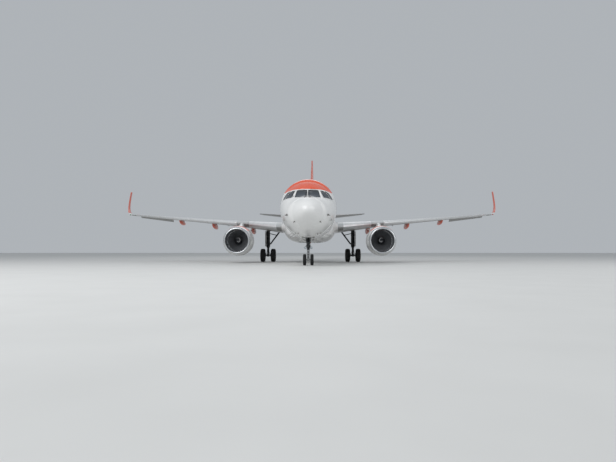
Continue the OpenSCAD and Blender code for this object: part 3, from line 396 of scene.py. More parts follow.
slat_metal = bare_metal("etched_aluminium_sheet", "#E6E7E8", 0.36, metallic=0.45)
hot_metal = bare_metal("heat_stained_nickel_alloy", "#6E6660", 0.42, 0.15, 0.6, "#3C3028", 6.0)
probe_steel = bare_metal("heat_tinted_probe_steel", "#6A6763", 0.4, stain=0.5, stain_code="#3A342E", scale=20.0)
wheel_metal = bare_metal("cast_aluminium_wheel", "#A9ABAD", 0.45, 0.2, 0.55, "#3E3A36", 12.0)
sill_steel = bare_metal("stainless_scuff_plate", "#B4B6B8", 0.35, 0.1, 0.3)


# %% Enamels and rubber seals
def enamel(name, code, roughness, grime_code, grime, scale=7.0):
    """Enamel on steel: dust and grease gather in soft patches and dull it."""
    material, shader, put = finish_named(name, code, roughness, Coat_Weight=0.1)
    at, parts = place(put)
    noise = put("TexNoise", inputs={"Vector": at, "Scale": scale, "Detail": 7.0, "Roughness": 0.65})
    dirty = put("MapRange", noise, 0.42, 0.72, 0.0, grime)
    feed(shader, Base_Color=coats(put, code, (dirty, 1, grime_code)),
         Roughness=put("MapRange", noise, 0.35, 0.7, roughness, min(1.0, roughness + 0.25)),
         Normal=put("Bump", inputs={"Height": noise, "Strength": 0.12, "Distance": 0.002}))
    return material


leg_enamel = enamel("gear_enamel_dark_grey", "#3E4246", 0.4, "#1B1A19", 0.7)
light_enamel = enamel("gear_enamel_light_grey", "#B9BCBE", 0.38, "#5A5550", 0.55)
door_enamel = enamel("door_enamel_white", "#DFDFDD", 0.35, "#8A8880", 0.35, 2.0)
primer = enamel("zinc_chromate_primer", "#9A9A4A", 0.55, "#4A4A30", 0.5, 4.0)
soft_black = enamel("black_rubber_seal", "#16171A", 0.6, "#2A2A2A", 0.4, 9.0)
antenna_paint = enamel("antenna_enamel_white", "#E4E4E2", 0.3, "#9A9890", 0.2)
seam_seal = enamel("door_seam_sealant", "#3A3C3E", 0.55, "#1E1E1E", 0.4, 6.0)

# %% [markdown]
# ### The cowls' finish
# The intake lip is polished metal, because paint there would erode. The cowl is white with an orange-red
# top, and the duct inside is a grey sound-absorbing sheet with fine holes. One material carries all three
# and tells them apart by distances from the lip and the engine's axis, so the mesh needs no cut for them.
# %% Cowl: polished lip, painted outside, lined duct
LIP_STATION = 11.2
ENGINE_X = 5.75
ENGINE_Z = 1.79
LIP_DEPTH = 0.160
COWL_SEAMS = (0.98, 2.15)  # behind the lip


def about_engine(put, x, z):
    """How far a spot lies beside, above and away from its own engine's axis."""
    beside = put("Math:SUBTRACT", put("Math:ABSOLUTE", x), ENGINE_X)
    above = put("Math:SUBTRACT", z, ENGINE_Z)
    return beside, above, from_axis(put, beside, above)


cowl_finish, shader, put = finish_named("engine_cowl_finish", WHITE, 0.24, Coat_Weight=0.15, Coat_Roughness=0.1)
at, (x, y, z) = place(put)
behind = put("Math:SUBTRACT", y, station(LIP_STATION))
beside, above, radius = about_engine(put, x, z)
lip = put("MapRange", behind, LIP_DEPTH + 0.005, LIP_DEPTH)
past_lip = put("MapRange", behind, LIP_DEPTH, LIP_DEPTH + 0.005)
in_duct = put("Math:MULTIPLY", put("MapRange", behind, 2.3, 2.2), past_lip)
duct = put("Math:MULTIPLY", put("MapRange", radius, 0.945, 0.935), in_duct)
red = put("Math:MULTIPLY", put("MapRange", above, 0.792, 0.800), put("MapRange", behind, 0.36, 0.365))
seams = put("Math:MULTIPLY", near(put, beside, 0.0, 0.006, 0.004), put("MapRange", behind, 0.975, 0.98))
for seam_at in COWL_SEAMS:
    seams = put("Math:MAXIMUM", seams, near(put, behind, seam_at, 0.006, 0.004))
holes = put("TexVoronoi", inputs={"Vector": at, "Scale": 110.0})
relief = put("Math:SUBTRACT", put("Math:MULTIPLY", holes, duct), seams)
feed(shader, Metallic=lip, Normal=put("Bump", inputs={"Height": relief, "Strength": 0.4, "Distance": 0.003}),
     Base_Color=coats(put, WHITE, (red, 1, ORANGE_RED), (film_of(put, at, 1.6, 0.5, 0.9), 0.2, "#8C8880"),
                      (seams, 0.5, "#5C5E60"), (duct, 1, "#6C6F73"), (lip, 1, "#D6D8DA")))

# %% [markdown]
# ### The fan
# Fan blades are forged titanium: a soft grey sheen that wear dulls in patches. The spinner is painted dark,
# with a white curl that shows from the ground whether the fan turns. The curl is worked out from the angle
# round the axis and the distance from it, which needs no image and turns with the fan.
# %% Titanium blades and a dark spinner with a white curl
FAN_STATION = LIP_STATION + 1.17
CURL_TIGHTNESS = 3.2  # turns to a metre of radius
fan_finish, shader, put = finish_named("titanium_fan_and_spinner", "#9A9CA0", 0.36, 0.6)
at, (x, y, z) = place(put)
beside, above, radius = about_engine(put, x, z)
ahead = put("MapRange", y, station(FAN_STATION), station(FAN_STATION - 0.01))
spinner = put("Math:MULTIPLY", put("MapRange", radius, 0.302, 0.300), ahead)
turn = put("Math:DIVIDE", put("Math:ARCTAN2", above, beside), math.tau)
wound = put("Math:ADD", turn, put("Math:MULTIPLY", radius, CURL_TIGHTNESS))
stripe = put("MapRange", put("Math:PINGPONG", wound, 0.5), 0.085, 0.075)
curl = put("Math:MULTIPLY", stripe, near(put, radius, 0.15, 0.11, 0.105))
wear = put("TexNoise", inputs={"Vector": at, "Scale": 9.0, "Detail": 6.0})
blades = coats(put, "#A9ABAF", (wear, 0.5, "#6C6E72"))
nose_paint = coats(put, "#303236", (curl, 1, "#DADAD8"))
feed(shader, Base_Color=coats(put, blades, (spinner, 1, nose_paint)),
     Metallic=put("MapRange", spinner, 0.0, 1.0, 0.6, 0.0))


# %% [markdown]
# ### Tyre rubber
# Tyres are moulded in nearly black rubber, which scuffs to grey. An aircraft tyre has no blocks, only
# straight grooves round its tread that lead water away, so they are lines at an even pitch across it.
# %% Rubber with straight grooves
def rubber(name, gear_x, half_track, axle_y, axle_z, tread_radius, pitch):
    material, shader, put = finish_named(name, "#17181A", 0.78)
    at, (x, y, z) = place(put)
    noise = put("TexNoise", inputs={"Vector": at, "Scale": 16.0, "Detail": 8.0, "Roughness": 0.7})
    scuffed = put("MapRange", noise, 0.5, 0.75, 0.0, 0.5)
    for middle in (gear_x, half_track):
        x = put("Math:SUBTRACT", put("Math:ABSOLUTE", x), middle)
    behind, above = (put("Math:SUBTRACT", *pair) for pair in ((y, axle_y), (z, axle_z)))
    on_tread = put("MapRange", from_axis(put, behind, above), tread_radius - 0.03, tread_radius - 0.02)
    lines = line_every(put, put("Math:ADD", x, pitch / 2), pitch, 0.012)
    grooves = put("Math:MULTIPLY", on_tread, lines)
    relief = put("Math:SUBTRACT", put("Math:MULTIPLY", noise, 0.3), grooves)
    # The grooves are left unscuffed and painted near-black, darker than the rubber itself: painted shade in their
    # recesses.
    feed(shader, Base_Color=coats(put, "#141517", (scuffed, 1, "#3A3937"), (grooves, 1, "#060606")),
         Normal=put("Bump", inputs={"Height": relief, "Strength": 0.6, "Distance": 0.008}))
    return material


# Where the wheels stand: the axles' Y, and the tyres' radius, which is also the axles' height
NOSE_AXLE_Y = station(5.07)
MAIN_AXLE_Y = station(17.71)
NOSE_TYRE, MAIN_TYRE = 0.381, 0.584
MAIN_GEAR_X = 3.795
NOSE_HALF_TRACK, MAIN_HALF_TRACK = 0.25, 0.4635
nose_rubber = rubber("nose_tyre_rubber", 0.0, NOSE_HALF_TRACK, NOSE_AXLE_Y, NOSE_TYRE, NOSE_TYRE, 0.045)
main_rubber = rubber("main_tyre_rubber", MAIN_GEAR_X, MAIN_HALF_TRACK, MAIN_AXLE_Y, MAIN_TYRE, MAIN_TYRE, 0.085)

# %% [markdown]
# ### Window glass and lamp lenses
# A windscreen is three glass plies with a gold-tinted heating film. Against a dark cockpit it reads as
# smooth blue-black with a bright sky reflection, so it is a dark, glossy dielectric whose colour is painted
# shade of the cockpit behind it, darker towards its top.
# Lamp lenses are moulded glass, clear or in the colour of their lamp.
# %% Window glass and lamp lenses
pane_glass, shader, put = finish_named("laminated_windscreen_glass", "#1D252E", 0.06,
                                       Coat_Weight=0.4, Coat_Roughness=0.02)
at, (x, y, z) = place(put)
# Painted shade: the glass is coloured as the dark cockpit behind it, darker towards its top.
feed(shader, Base_Color=coats(put, "#2C3844", (put("MapRange", z, 4.3, 4.88), 1, "#151C24")))
lens_glass, *rest = finish_named("lamp_lens_glass", "#C9D4DC", 0.05, Coat_Weight=0.5)
red_lens, *rest = finish_named("red_lamp_lens", "#A01818", 0.1, Coat_Weight=0.5)
green_lens, *rest = finish_named("green_lamp_lens", "#127A3A", 0.1, Coat_Weight=0.5)
print("materials:", len(bpy.data.materials))

# %% [markdown]
# ## Smooth skins
# The frame's solids are exact, but their skins are made of flat facets. On the real jet the sheets are
# rolled, so a copy of each such node is merged, shaded smooth up to an angle, and stands for the node.
# %% Copies that stand for the nodes
SKIN_ANGLE = 32  # edges that fold less are shaded smooth
# A finish, the record's slot that it stands for, and the nodes that wear it
FINISHES = (
    (topcoat, "white_paint", "belly_fairing pylon_l pylon_r"),
    (wing_topcoat, "grey_paint", "wing_l wing_r flaps aileron_l aileron_r"),
    (tail_topcoat, "grey_paint", "tail_cone tailplane elevator_l elevator_r"),
    (fin_shell, "orange_red_paint", "fin rudder"),
    (winglet_shell, "orange_red_paint", "winglet_l winglet_r"),
    (fairing_shell, "orange_red_paint", "flap_fairings"),
    (pane_glass, "window_glass", "cockpit_glass"),
    (slat_metal, "bare_aluminium", "slats"),
    (hot_metal, "engine_metal", "engine_core_l engine_core_r"),
    (fan_finish, "fan_metal", "fan_l fan_r"),
    (leg_enamel, "gear_paint_dark", "nose_leg main_leg_l main_leg_r main_stays"),
    (light_enamel, "gear_paint_light", "nose_fork tow_fitting jack_pads"),
    (soft_black, "lamp_metal", "taxi_lamps"),
    (door_enamel, "white_paint", "nose_doors main_leg_doors"),
    (antenna_paint, "white_paint", "antennas"),
    (wheel_metal, "wheel_aluminium", "nose_rims main_rims_l main_rims_r"),
    (nose_rubber, "tyre_rubber", "nose_tyres"),
    (main_rubber, "tyre_rubber", "main_tyres_l main_tyres_r"),
)


def skin(node, material):
    """A smooth copy of a node, which stands for it."""
    source = frame["nodes"][node]
    piece = source.copy()
    piece.data = source.data.copy()
    piece.name = piece.data.name = node + "_skin"
    bpy.context.collection.objects.link(piece)
    piece.parent = None
    piece.matrix_world = Matrix.Identity(4)
    edit(piece, lambda: bpy.ops.mesh.remove_doubles(threshold=0.0002))
    settle(piece, SKIN_ANGLE)
    dress(piece, body_of_node[node], material)
    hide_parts(node)
    return piece


skins = {node: skin(node, material) for material, slot, nodes in FINISHES for node in nodes.split()}
# Painted shade on the grey skins: each vertex's share of it grows with how far it faces down.
for piece in skins.values():
    if piece.data.materials[0] in (wing_topcoat, tail_topcoat):
        down = [min(1.0, max(0.0, 0.2 - 1.6 * vertex.normal.z)) for vertex in piece.data.vertices]
        piece.data.attributes.new("underside", "FLOAT", "POINT").data.foreach_set("value", down)
print("skins:", len(skins))

# %% [markdown]
# ## The fuselage as one skin
# The fuselage's sections meet at flat walls 0.3 mm apart. Outside they read as one surface, so the walls
# between them are taken off and their edges merged, and the paint runs on without a fold.
# %% Taking the walls off and merging the edges
# Each section with the stations of its walls
SECTIONS = {"radome": (1.05,), "cockpit_section": (1.05, 4.0), "front_fuselage": (4.0, 6.5),
            "fuselage_barrel": (6.5, 24.57), "rear_fuselage": (24.57,)}
rings = []
for node, walls in SECTIONS.items():
    section = skin(node, topcoat)
    pick(section, lambda middle, normal: abs(normal.y) > 0.99
         and any(abs(middle.y - station(wall)) < 0.003 for wall in walls))
    bpy.ops.mesh.delete(type="FACE")
    bpy.ops.object.mode_set(mode="OBJECT")
    rings.append(section)
fuselage = joined("fuselage_skin", rings)
edit(fuselage, lambda: bpy.ops.mesh.remove_doubles(threshold=0.0008))
dress(settle(fuselage, SKIN_ANGLE), "airframe", topcoat)
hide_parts(*SECTIONS)
print("fuselage faces:", len(fuselage.data.polygons))
print("not covered yet:", sorted(set(frame["nodes"]) - set(skins) - set(SECTIONS)))
skins["fuselage"] = fuselage

# %% [markdown]
# ## The engine cowls
# A cowl is spun and laid up over a round mould, so it is turned here: its outline is a curve through the
# radii of the lip, the cowl, the nozzle and the duct, rounded everywhere but at the nozzle's edge and along
# the fan's running track, and the curve is spun about the engine's axis.
# %% Turned cowls
# Radius and distance behind the lip: the outside from the lip to the nozzle, then the duct from back to front
COWL = ((0.951, 0.0), (1.011, 0.025), (1.076, 0.13), (1.135, 0.38), (1.185, 0.75), (1.2, 1.25), (1.185, 1.85),
        (1.12, 2.5), (1.01, 3.05), (0.91, 3.45), (0.89, 3.45), (0.965, 3.0), (1.01, 2.4), (0.916, 1.7),
        (0.876, 1.37), (0.876, 0.93), (0.851, 0.5), (0.846, 0.3), (0.881, 0.12), (0.911, 0.025))
SHARP = (9, 10, 14, 15)
COWL_STEPS = 96  # facets round the cowl


def curve_through(name, points, sharp=(), closed=False, steps=6):
    """A Bezier curve through some points, with a corner at the ones that are called sharp."""
    line = start(name, bpy.ops.curve.primitive_bezier_curve_add)
    spline = line.data.splines[0]
    spline.bezier_points.add(len(points) - 2)
    for k, (knot, spot) in enumerate(zip(spline.bezier_points, points)):
        knot.co = spot
        knot.handle_left_type = knot.handle_right_type = "VECTOR" if k in sharp else "AUTO"
    spline.use_cyclic_u = closed
    line.data.resolution_u = steps
    return line


curve_through("cowl", [(radius, behind, 0) for radius, behind in COWL], SHARP, True, 5)
bpy.ops.object.convert(target="MESH")
cowl = bpy.context.active_object
edit(cowl, lambda: bpy.ops.mesh.spin(steps=COWL_STEPS, angle=math.tau, center=(0, 0, 0), axis=(0, 1, 0)))
edit(cowl, lambda: bpy.ops.mesh.remove_doubles(threshold=0.0001))
edit(cowl, lambda: bpy.ops.mesh.normals_make_consistent(inside=False))
moved(cowl, Matrix.Translation((ENGINE_X, station(LIP_STATION), ENGINE_Z)))
for tag, cowl_piece in (("l", cowl), ("r", mirrored(cowl, "nacelle_r_skin"))):
    cowl_piece.name = cowl_piece.data.name = f"nacelle_{tag}_skin"
    dress(settle(cowl_piece, 40), "airframe", cowl_finish)
    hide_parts(f"nacelle_{tag}")
    skins[f"nacelle_{tag}"] = cowl_piece
print("cowl faces:", len(cowl.data.polygons), "width:", round(cowl.dimensions.x, 3))

# %% [markdown]
# ## Placing small pieces on the skin
# A rivet gun or a sealant gun works against the skin itself, so small pieces here are placed by casting a
# ray at a smooth skin. The hit gives the spot and the outward direction, and a piece that is modelled at
# the origin with +X outwards and +Z up is turned to stand there.
# %% Rays and turns
FUSELAGE = ["fuselage", "tail_cone"]
AFT, UP, DOWN = (0, 1, 0), (0, 0, 1), (0, 0, -1)


def hit(targets, eye, direction):
    """The nearest point where a ray meets one of some skins, and the outward normal there."""
    hits = []
    for name in targets:
        found, spot, normal, _ = skins[name].ray_cast(Vector(eye), Vector(direction).normalized())
        if found:
            hits.append((spot.copy(), normal.copy()))
    return min(hits, key=lambda pair: (pair[0] - Vector(eye)).length)


def side_hit(metres, height, side):
    return hit(FUSELAGE, (side * 6, station(metres), height), (-side, 0, 0))


def stand(spot, outward, up=UP):
    """The turn and move that stands a piece on a spot: its +X outwards, its +Z as near up as can be."""
    outward = outward.normalized()
    across = Vector(up).cross(outward).normalized()
    tall = outward.cross(across)
    return Matrix.Translation(spot) @ Matrix((outward, across, tall)).transposed().to_4x4()


# %% [markdown]
# ## Cabin windows
# Each window is a stretched-acrylic pane about 230 by 330 mm in a rounded aluminium frame, one to every
# frame bay of 533 mm. The pane and its frame are modelled once as a rounded block whose face is inset and
# pushed in, and copied down both sides between the doors, with the bays of the overwing exits left out.
# %% One pane and one frame
def rounded_block(name, size, radius, inset, push, segments=3):
    """A thin block with rounded corners, its outer face inset and pushed in by `push`."""
    block = moved(start(name, bpy.ops.mesh.primitive_cube_add, size=1), Matrix.Diagonal((*size, 1)))
    pick(block, lambda middle, run: abs(run.x) > 0.5 * size[0] and abs(run.y) + abs(run.z) < 1e-6, "EDGE")
    bpy.ops.mesh.bevel(offset=radius, segments=segments, affect="EDGES")
    bpy.ops.object.mode_set(mode="OBJECT")
    if inset:
        pick(block, lambda middle, normal: normal.x > 0.9)
        bpy.ops.mesh.inset(thickness=inset, depth=0)
        bpy.ops.transform.translate(value=(push, 0, 0))
        bpy.ops.object.mode_set(mode="OBJECT")
    return block


pane_pattern = rounded_block("cabin_pane", (0.012, 0.212, 0.312), 0.09, 0.012, 0.002)
frame_pattern = rounded_block("cabin_window_frame", (0.014, 0.262, 0.362), 0.11, 0.024, -0.006)

# %% Copy them down both sides
WINDOW_HEIGHT = AXIS_HEIGHT + 0.65
WINDOW_PITCH = 0.533
FIRST_WINDOW, LAST_WINDOW = 7.0, 28.4
EXIT_CLEARANCE = 0.40  # a window nearer than this to an exit's middle is left out
DOORS = (5.62, 29.3)
EXITS = (14.55, 15.62)  # over the wings
HOLDS = (8.65, 23.3)  # cargo doors on the right side
for side, end in ((1, "left"), (-1, "right")):
    panes, rims = [], []
    metres = FIRST_WINDOW
    while metres < LAST_WINDOW:
        if all(abs(metres - exit_at) > EXIT_CLEARANCE for exit_at in EXITS):
            at_skin = stand(*side_hit(metres, WINDOW_HEIGHT, side))
            panes.append(copied(pane_pattern, at_skin))
            rims.append(copied(frame_pattern, at_skin))
        metres += WINDOW_PITCH
    print(end, "windows:", len(panes))
    complete(f"cabin_panes_{end}", panes, pane_glass, angle=40)
    complete(f"cabin_window_frames_{end}", rims, slat_metal, angle=40)
drop(pane_pattern)
drop(frame_pattern)

# %% [markdown]
# ## Doors, exits and hatches
# A pressurised door is a plug that sits flush, so what shows is a dark sealed gap round it. Each gap is a
# flat ring: a plane is set to the door's size, inset, its middle deleted and its strips divided, and then
# it is shrunk onto the skin and given a few millimetres of thickness.
# %% A seam ring that is shrunk onto the skin
def shrink(piece, axis, target, also=None, offset=0.002, thick=0.004):
    """Lays a flat piece on a skin, or on two, straight along an axis, and thickens it."""
    modify(piece, "SHRINKWRAP", target=target, auxiliary_target=also, offset=offset, wrap_method="PROJECT",
           use_negative_direction=True, use_positive_direction=True,
           use_project_x=axis == "x", use_project_y=axis == "y", use_project_z=axis == "z")
    modify(piece, "SOLIDIFY", thickness=thick, offset=0)
    edit(piece, lambda: bpy.ops.mesh.normals_make_consistent(inside=False))


def open_up(piece, width, centre, reach, cuts):
    """Insets a flat piece, takes out the face at its centre and divides the strips that are left."""
    edit(piece, lambda: bpy.ops.mesh.inset(thickness=width))
    pick(piece, lambda middle, normal: (middle - centre).length < reach)
    bpy.ops.mesh.delete(type="FACE")
    bpy.ops.mesh.select_all(action="SELECT")
    bpy.ops.mesh.subdivide(number_cuts=cuts)
    bpy.ops.object.mode_set(mode="OBJECT")


def seam_ring(name, middle, size, corner, width, target, axis="x", cuts=8, yaw=0.0):
    """A ring seam in the plane across an axis; size is its extent along the two other axes."""
    ring = moved(start(name, bpy.ops.mesh.primitive_plane_add, size=1), Matrix.Diagonal((*size, 1, 1)))
    if corner:
        edit(ring, lambda: bpy.ops.mesh.bevel(offset=corner, segments=4, affect="VERTICES"))
    open_up(ring, width, Vector(), 0.3 * min(size), cuts)
    turn = {"x": Matrix(((0, 0, 1, 0), (1, 0, 0, 0), (0, 1, 0, 0), (0, 0, 0, 1))),
            "z": Matrix.Rotation(math.radians(yaw), 4, "Z")}[axis]
    moved(ring, Matrix.Translation(middle) @ turn)
    shrink(ring, axis, skins[target])
    return ring


# %% Passenger doors, overwing exits and cargo doors
# Sides, stations, height from the barrel's axis, width and height, corner radius, and line width
OPENINGS = (((1, -1), DOORS, 0.54, (0.81, 1.85), 0.12, 0.016), ((1, -1), EXITS, 0.58, (0.51, 1.02), 0.10, 0.014),
            ((-1,), HOLDS, -0.80, (1.82, 1.24), 0.10, 0.016))
seams = [seam_ring("opening", (side * 3.0, station(metres), AXIS_HEIGHT + height), size, corner, line, "fuselage")
         for sides, stations, height, size, corner, line in OPENINGS for side in sides for metres in stations]
print("door seams:", len(seams))
complete("door_seams", seams, seam_seal)

# %% Door windows, handles and sills
handle = rounded_block("handle", (0.022, 0.20, 0.05), 0.018, 0.008, 0.003)
porthole = rounded_block("porthole", (0.012, 0.15, 0.21), 0.06, 0.012, 0.002)
sill = rounded_block("sill", (0.012, 0.84, 0.05), 0.01, 0.006, 0.001)
# Where each pattern is copied to: sides, stations, shift aft, and height from the barrel's axis
HANDLES_AT = (((1, -1), DOORS, -0.22, 0.33), ((-1,), HOLDS, 0, -1.20))
PORTHOLES_AT = (((1, -1), DOORS, 0.02, 0.96), ((1, -1), EXITS, 0, 0.65))
SILLS_AT = (((1, -1), DOORS, 0, -0.42),)
for name, pattern, material, slot, rows in (
        ("door_handles", handle, sill_steel, "bare_aluminium", HANDLES_AT),
        ("door_portholes", porthole, pane_glass, "window_glass", PORTHOLES_AT),
        ("door_sill_plates", sill, sill_steel, "bare_aluminium", SILLS_AT)):
    parts = [copied(pattern, stand(*side_hit(metres + shift, AXIS_HEIGHT + height, side)))
             for sides, stations, shift, height in rows for side in sides for metres in stations]
    print(name, len(parts))
    complete(name, parts, material)
    drop(pattern)

# %% [markdown]
# ## The windscreen's seals and wipers
# Six glass panes are clamped from outside, with a black weather seal round each. A seal is a plane whose
# corners are set to the pane's corners, inset, opened, and laid onto the glass. The wipers park upright
# beside the centre post: an arm that tapers from its pivot, and a blade across the glass.
# %% Seals on the six panes
# Corners: beside the middle and above ground for the front pane, station and height for the side panes
FRONT_PANE = ((0.0285, 4.341), (0.0285, 4.879), (0.689, 4.864), (0.814, 4.351))
SIDE_PANES = (((2.261, 4.361), (2.829, 4.321), (2.959, 4.839), (2.730, 4.846)),
              ((2.891, 4.316), (3.349, 4.291), (3.279, 4.739), (3.021, 4.829)))


def pane_seal(corners, axis):
    seal = start("seal", bpy.ops.mesh.primitive_plane_add, size=1)
    for vertex, k in zip(seal.data.vertices, (0, 1, 3, 2)):
        vertex.co = corners[k]
    centre = sum((Vector(c) for c in corners), Vector()) / 4
    open_up(seal, 0.024, centre, 0.06, 6)
    shrink(seal, axis, skins["cockpit_glass"], skins["fuselage"], 0.003, 0.006)
    return seal


seals = []
for side in (1, -1):
    seals.append(pane_seal([(side * beside, station(1.2), height) for beside, height in FRONT_PANE], "y"))
    for pane in SIDE_PANES:
        seals.append(pane_seal([(side * 2.5, station(metres), height) for metres, height in pane], "x"))
print("seals:", len(seals))
complete("windscreen_seals", seals, soft_black)

# %% Wipers, one to each front pane
def rod(name, foot, head, radius, sides=12, tip=None):
    """A round rod from one point to another: a cylinder set to length, laid along the line."""
    foot, head = Vector(foot), Vector(head)
    made = start(name, bpy.ops.mesh.primitive_cone_add, vertices=sides, radius1=radius, radius2=tip or radius,
                 depth=(head - foot).length, end_fill_type="TRIFAN")
    turn = (head - foot).to_track_quat("Z", "Y").to_matrix().to_4x4()
    return moved(made, Matrix.Translation((foot + head) / 2) @ turn)


wiper_parts = []
for side in (1, -1):
    foot, _ = hit(FUSELAGE, (side * 0.16, station(-1), 4.27), AFT)
    mid, out = hit(["cockpit_glass", "fuselage"], (side * 0.12, station(-1), 4.53), AFT)
    top, top_out = hit(["cockpit_glass", "fuselage"], (side * 0.10, station(-1), 4.82), AFT)
    foot, mid, top = foot + out * 0.004, mid + out * 0.03, top + top_out * 0.022
    wiper_parts.append(rod("arm", foot, mid, 0.014, 12, 0.009))
    wiper_parts.append(rod("blade", mid - (top - mid) * 0.6, top, 0.009, 8))
    wiper_parts.append(rod("pivot", foot - out * 0.02, foot + out * 0.03, 0.026, 16, 0.018))
wipers = joined("windscreen_wipers", wiper_parts)
modify(wipers, "BEVEL", width=0.002, segments=2)
dress(settle(wipers), "airframe", soft_black)
print("wiper faces:", len(wipers.data.polygons))

# %% [markdown]
# ## Probes and vanes
# Small sensors stand on the nose: pitot tubes on short masts, and vanes that find the airflow's angle, with
# a drain below them. Each is a bent tube, a thin fin or a stub on a rounded foot plate of bare steel.
# %% Pitot tubes and vanes
def foot_plate(spot, outward, long, high):
    return moved(rounded_block("foot", (0.010, long, high), 0.036, 0.010, 0.0015), stand(spot, outward))


PITOTS = ((1.27, 3.22, 1.5), (0.79, 2.78, 1.0), (0.62, 2.13, 1.0))  # from the middle, above ground, size
probe_parts = []
for side in (1, -1):
    for beside, height, size in PITOTS:
        spot, outward = hit(FUSELAGE, (side * beside, station(-1), height), AFT)
        knee = spot + outward * 0.10 * size
        probe_parts.append(foot_plate(spot, outward, 0.12 * size, 0.09 * size))
        probe_parts.append(rod("mast", spot, knee + Vector((0, 0.02, 0)), 0.022 * size, 12, 0.014 * size))
        back, front = knee + Vector((0, 0.05, 0)), knee - Vector((0, 0.17, 0))
        probe_parts.append(rod("tube", back, front, 0.014 * size, 14, 0.009))
    spot, outward = side_hit(2.75, 2.98, side)
    probe_parts.append(foot_plate(spot, outward, 0.15, 0.15))
    vane = rounded_block("vane", (0.11, 0.13, 0.008), 0.004, 0, 0)
    probe_parts.append(moved(vane, stand(spot + outward * 0.06 + Vector((0, 0.04, 0)), outward)))
    spot, outward = side_hit(3.5, 2.15, side)
    probe_parts.append(foot_plate(spot, outward, 0.10, 0.10))
    probe_parts.append(rod("drain", spot, spot + outward * 0.05, 0.022, 14, 0.016))
print("probe parts:", len(probe_parts))
complete("nose_probes", probe_parts, probe_steel)

# %% [markdown]
# ## Beacons and drain masts
# A red beacon stands on the crown and one under the belly, each a moulded glass dome. Drain masts are small
# fins under the body that carry waste water clear of the skin. A ray finds their places, as it does for the
# probes, and their feet are let into the skin, so that no gap shows.
# %% Beacons and drain masts
def dome(name, placing, radius, squash_to):
    """A lamp cover: the upper half of a sphere, cut off by a bisect and flattened."""
    made = start(name, bpy.ops.mesh.primitive_uv_sphere_add, segments=20, ring_count=12, radius=radius)
    edit(made, lambda: bpy.ops.mesh.bisect(plane_co=(0, 0, 0), plane_no=(0, 0, 1), clear_inner=True, use_fill=True))
    return moved(made, placing @ Matrix.Diagonal((1, 1, squash_to, 1)))


# The skins that carry each beacon, its station, the height of the ray's eye, its way, and the beacon's turn
BEACONS = (("top_beacon", ["fuselage"], 13.2, 8, DOWN, 0),
           ("bottom_beacon", ["belly_fairing", "fuselage"], 13.9, 0.2, UP, math.pi))
for name, targets, metres, eye_height, way, turn in BEACONS:
    spot, _ = hit(targets, (0, station(metres), eye_height), way)
    placing = Matrix.Translation(spot + Vector(way) * 0.002) @ Matrix.Rotation(turn, 4, "X")
    dress(settle(dome(name, placing, 0.10, 1.0), 60), "airframe", red_lens)

masts = []
for metres in (9.4, 24.9):
    spot, outward = hit(["fuselage"], (0.35, station(metres), 0.2), UP)
    mast = rounded_block("mast", (0.24, 0.16, 0.022), 0.008, 0, 0)
    masts.append(moved(mast, stand(spot + outward * 0.11 + Vector((0, 0.05, 0)), outward, (1, 0, 0))))
complete("drain_masts", masts, antenna_paint)
print("beacons:", len(BEACONS), "masts:", len(masts))

# %% [markdown]
# ## Wheel trims
# Each wheel carries a domed hub cap and a ring of bolts that hold its two halves together. A bolt is made
# once as a hexagon with a washer and copied round the wheel, out where a ray meets the rim's face.
# %% Bolts round a wheel
def bolt_pattern(across, tall):
    """A hexagon head on a round washer, along +X."""
    parts = []
    for sides, radius, depth in ((6, across / 2, tall), (12, across * 0.68, tall * 0.3)):
        disc = start("disc", bpy.ops.mesh.primitive_cylinder_add, vertices=sides, radius=radius, depth=depth)
        parts.append(moved(disc, Matrix.Translation((0, 0, depth / 2))))
    return moved(joined("bolt", parts), Matrix.Rotation(math.pi / 2, 4, "Y"))


def wheel_trim(name, centre, side, ring_radius, face_x, count, across, cap_radius, cap_x, body):
    """Bolts in a ring on a wheel's outer face, and a domed hub cap."""
    bolt = bolt_pattern(across, across * 0.5)
    centre = Matrix.Translation(centre)
    flip = Matrix.Identity(4) if side > 0 else Matrix.Rotation(math.pi, 4, "Z")
    parts = []
    for k in range(count):
        around = Matrix.Rotation(math.tau * k / count, 4, "X")
        parts.append(copied(bolt, centre @ around @ flip @ Matrix.Translation((face_x, 0, ring_radius))))
    drop(bolt)
    outward = Matrix.Translation((side * cap_x, 0, 0)) @ Matrix.Rotation(side * math.pi / 2, 4, "Y")
    parts.append(dome("cap", centre @ outward, cap_radius, 0.45))
    complete(name, parts, wheel_metal, body, 40)


def hub_face(node, centre, side, radius):
    """How far out from the wheel's middle its outer face lies at a radius."""
    spot, _ = hit([node], (centre[0] + side * 1.2, centre[1], centre[2] + radius), (-side, 0, 0))
    return abs(spot.x - centre[0])


for side, end, tag in ((1, "left", "l"), (-1, "right", "r")):
    centre = (side * NOSE_HALF_TRACK, NOSE_AXLE_Y, NOSE_TYRE)
    bolts_at, cap_at = (hub_face("nose_rims", centre, side, radius) for radius in (0.125, 0.06))
    wheel_trim(f"nose_wheel_trim_{end}", centre, side, 0.125, bolts_at, 9, 0.026, 0.052, cap_at, "nose_wheels")
    for out, where in ((side, "outer"), (-side, "inner")):
        centre = (side * MAIN_GEAR_X + out * MAIN_HALF_TRACK, MAIN_AXLE_Y, MAIN_TYRE)
        bolts_at, cap_at = (hub_face(f"main_rims_{tag}", centre, out, radius) for radius in (0.16, 0.09))
        wheel_trim(f"main_wheel_trim_{end}_{where}", centre, out, 0.16, bolts_at, 12, 0.036, 0.082, cap_at,
                   f"main_wheels_{tag}")
print("wheel trims made")

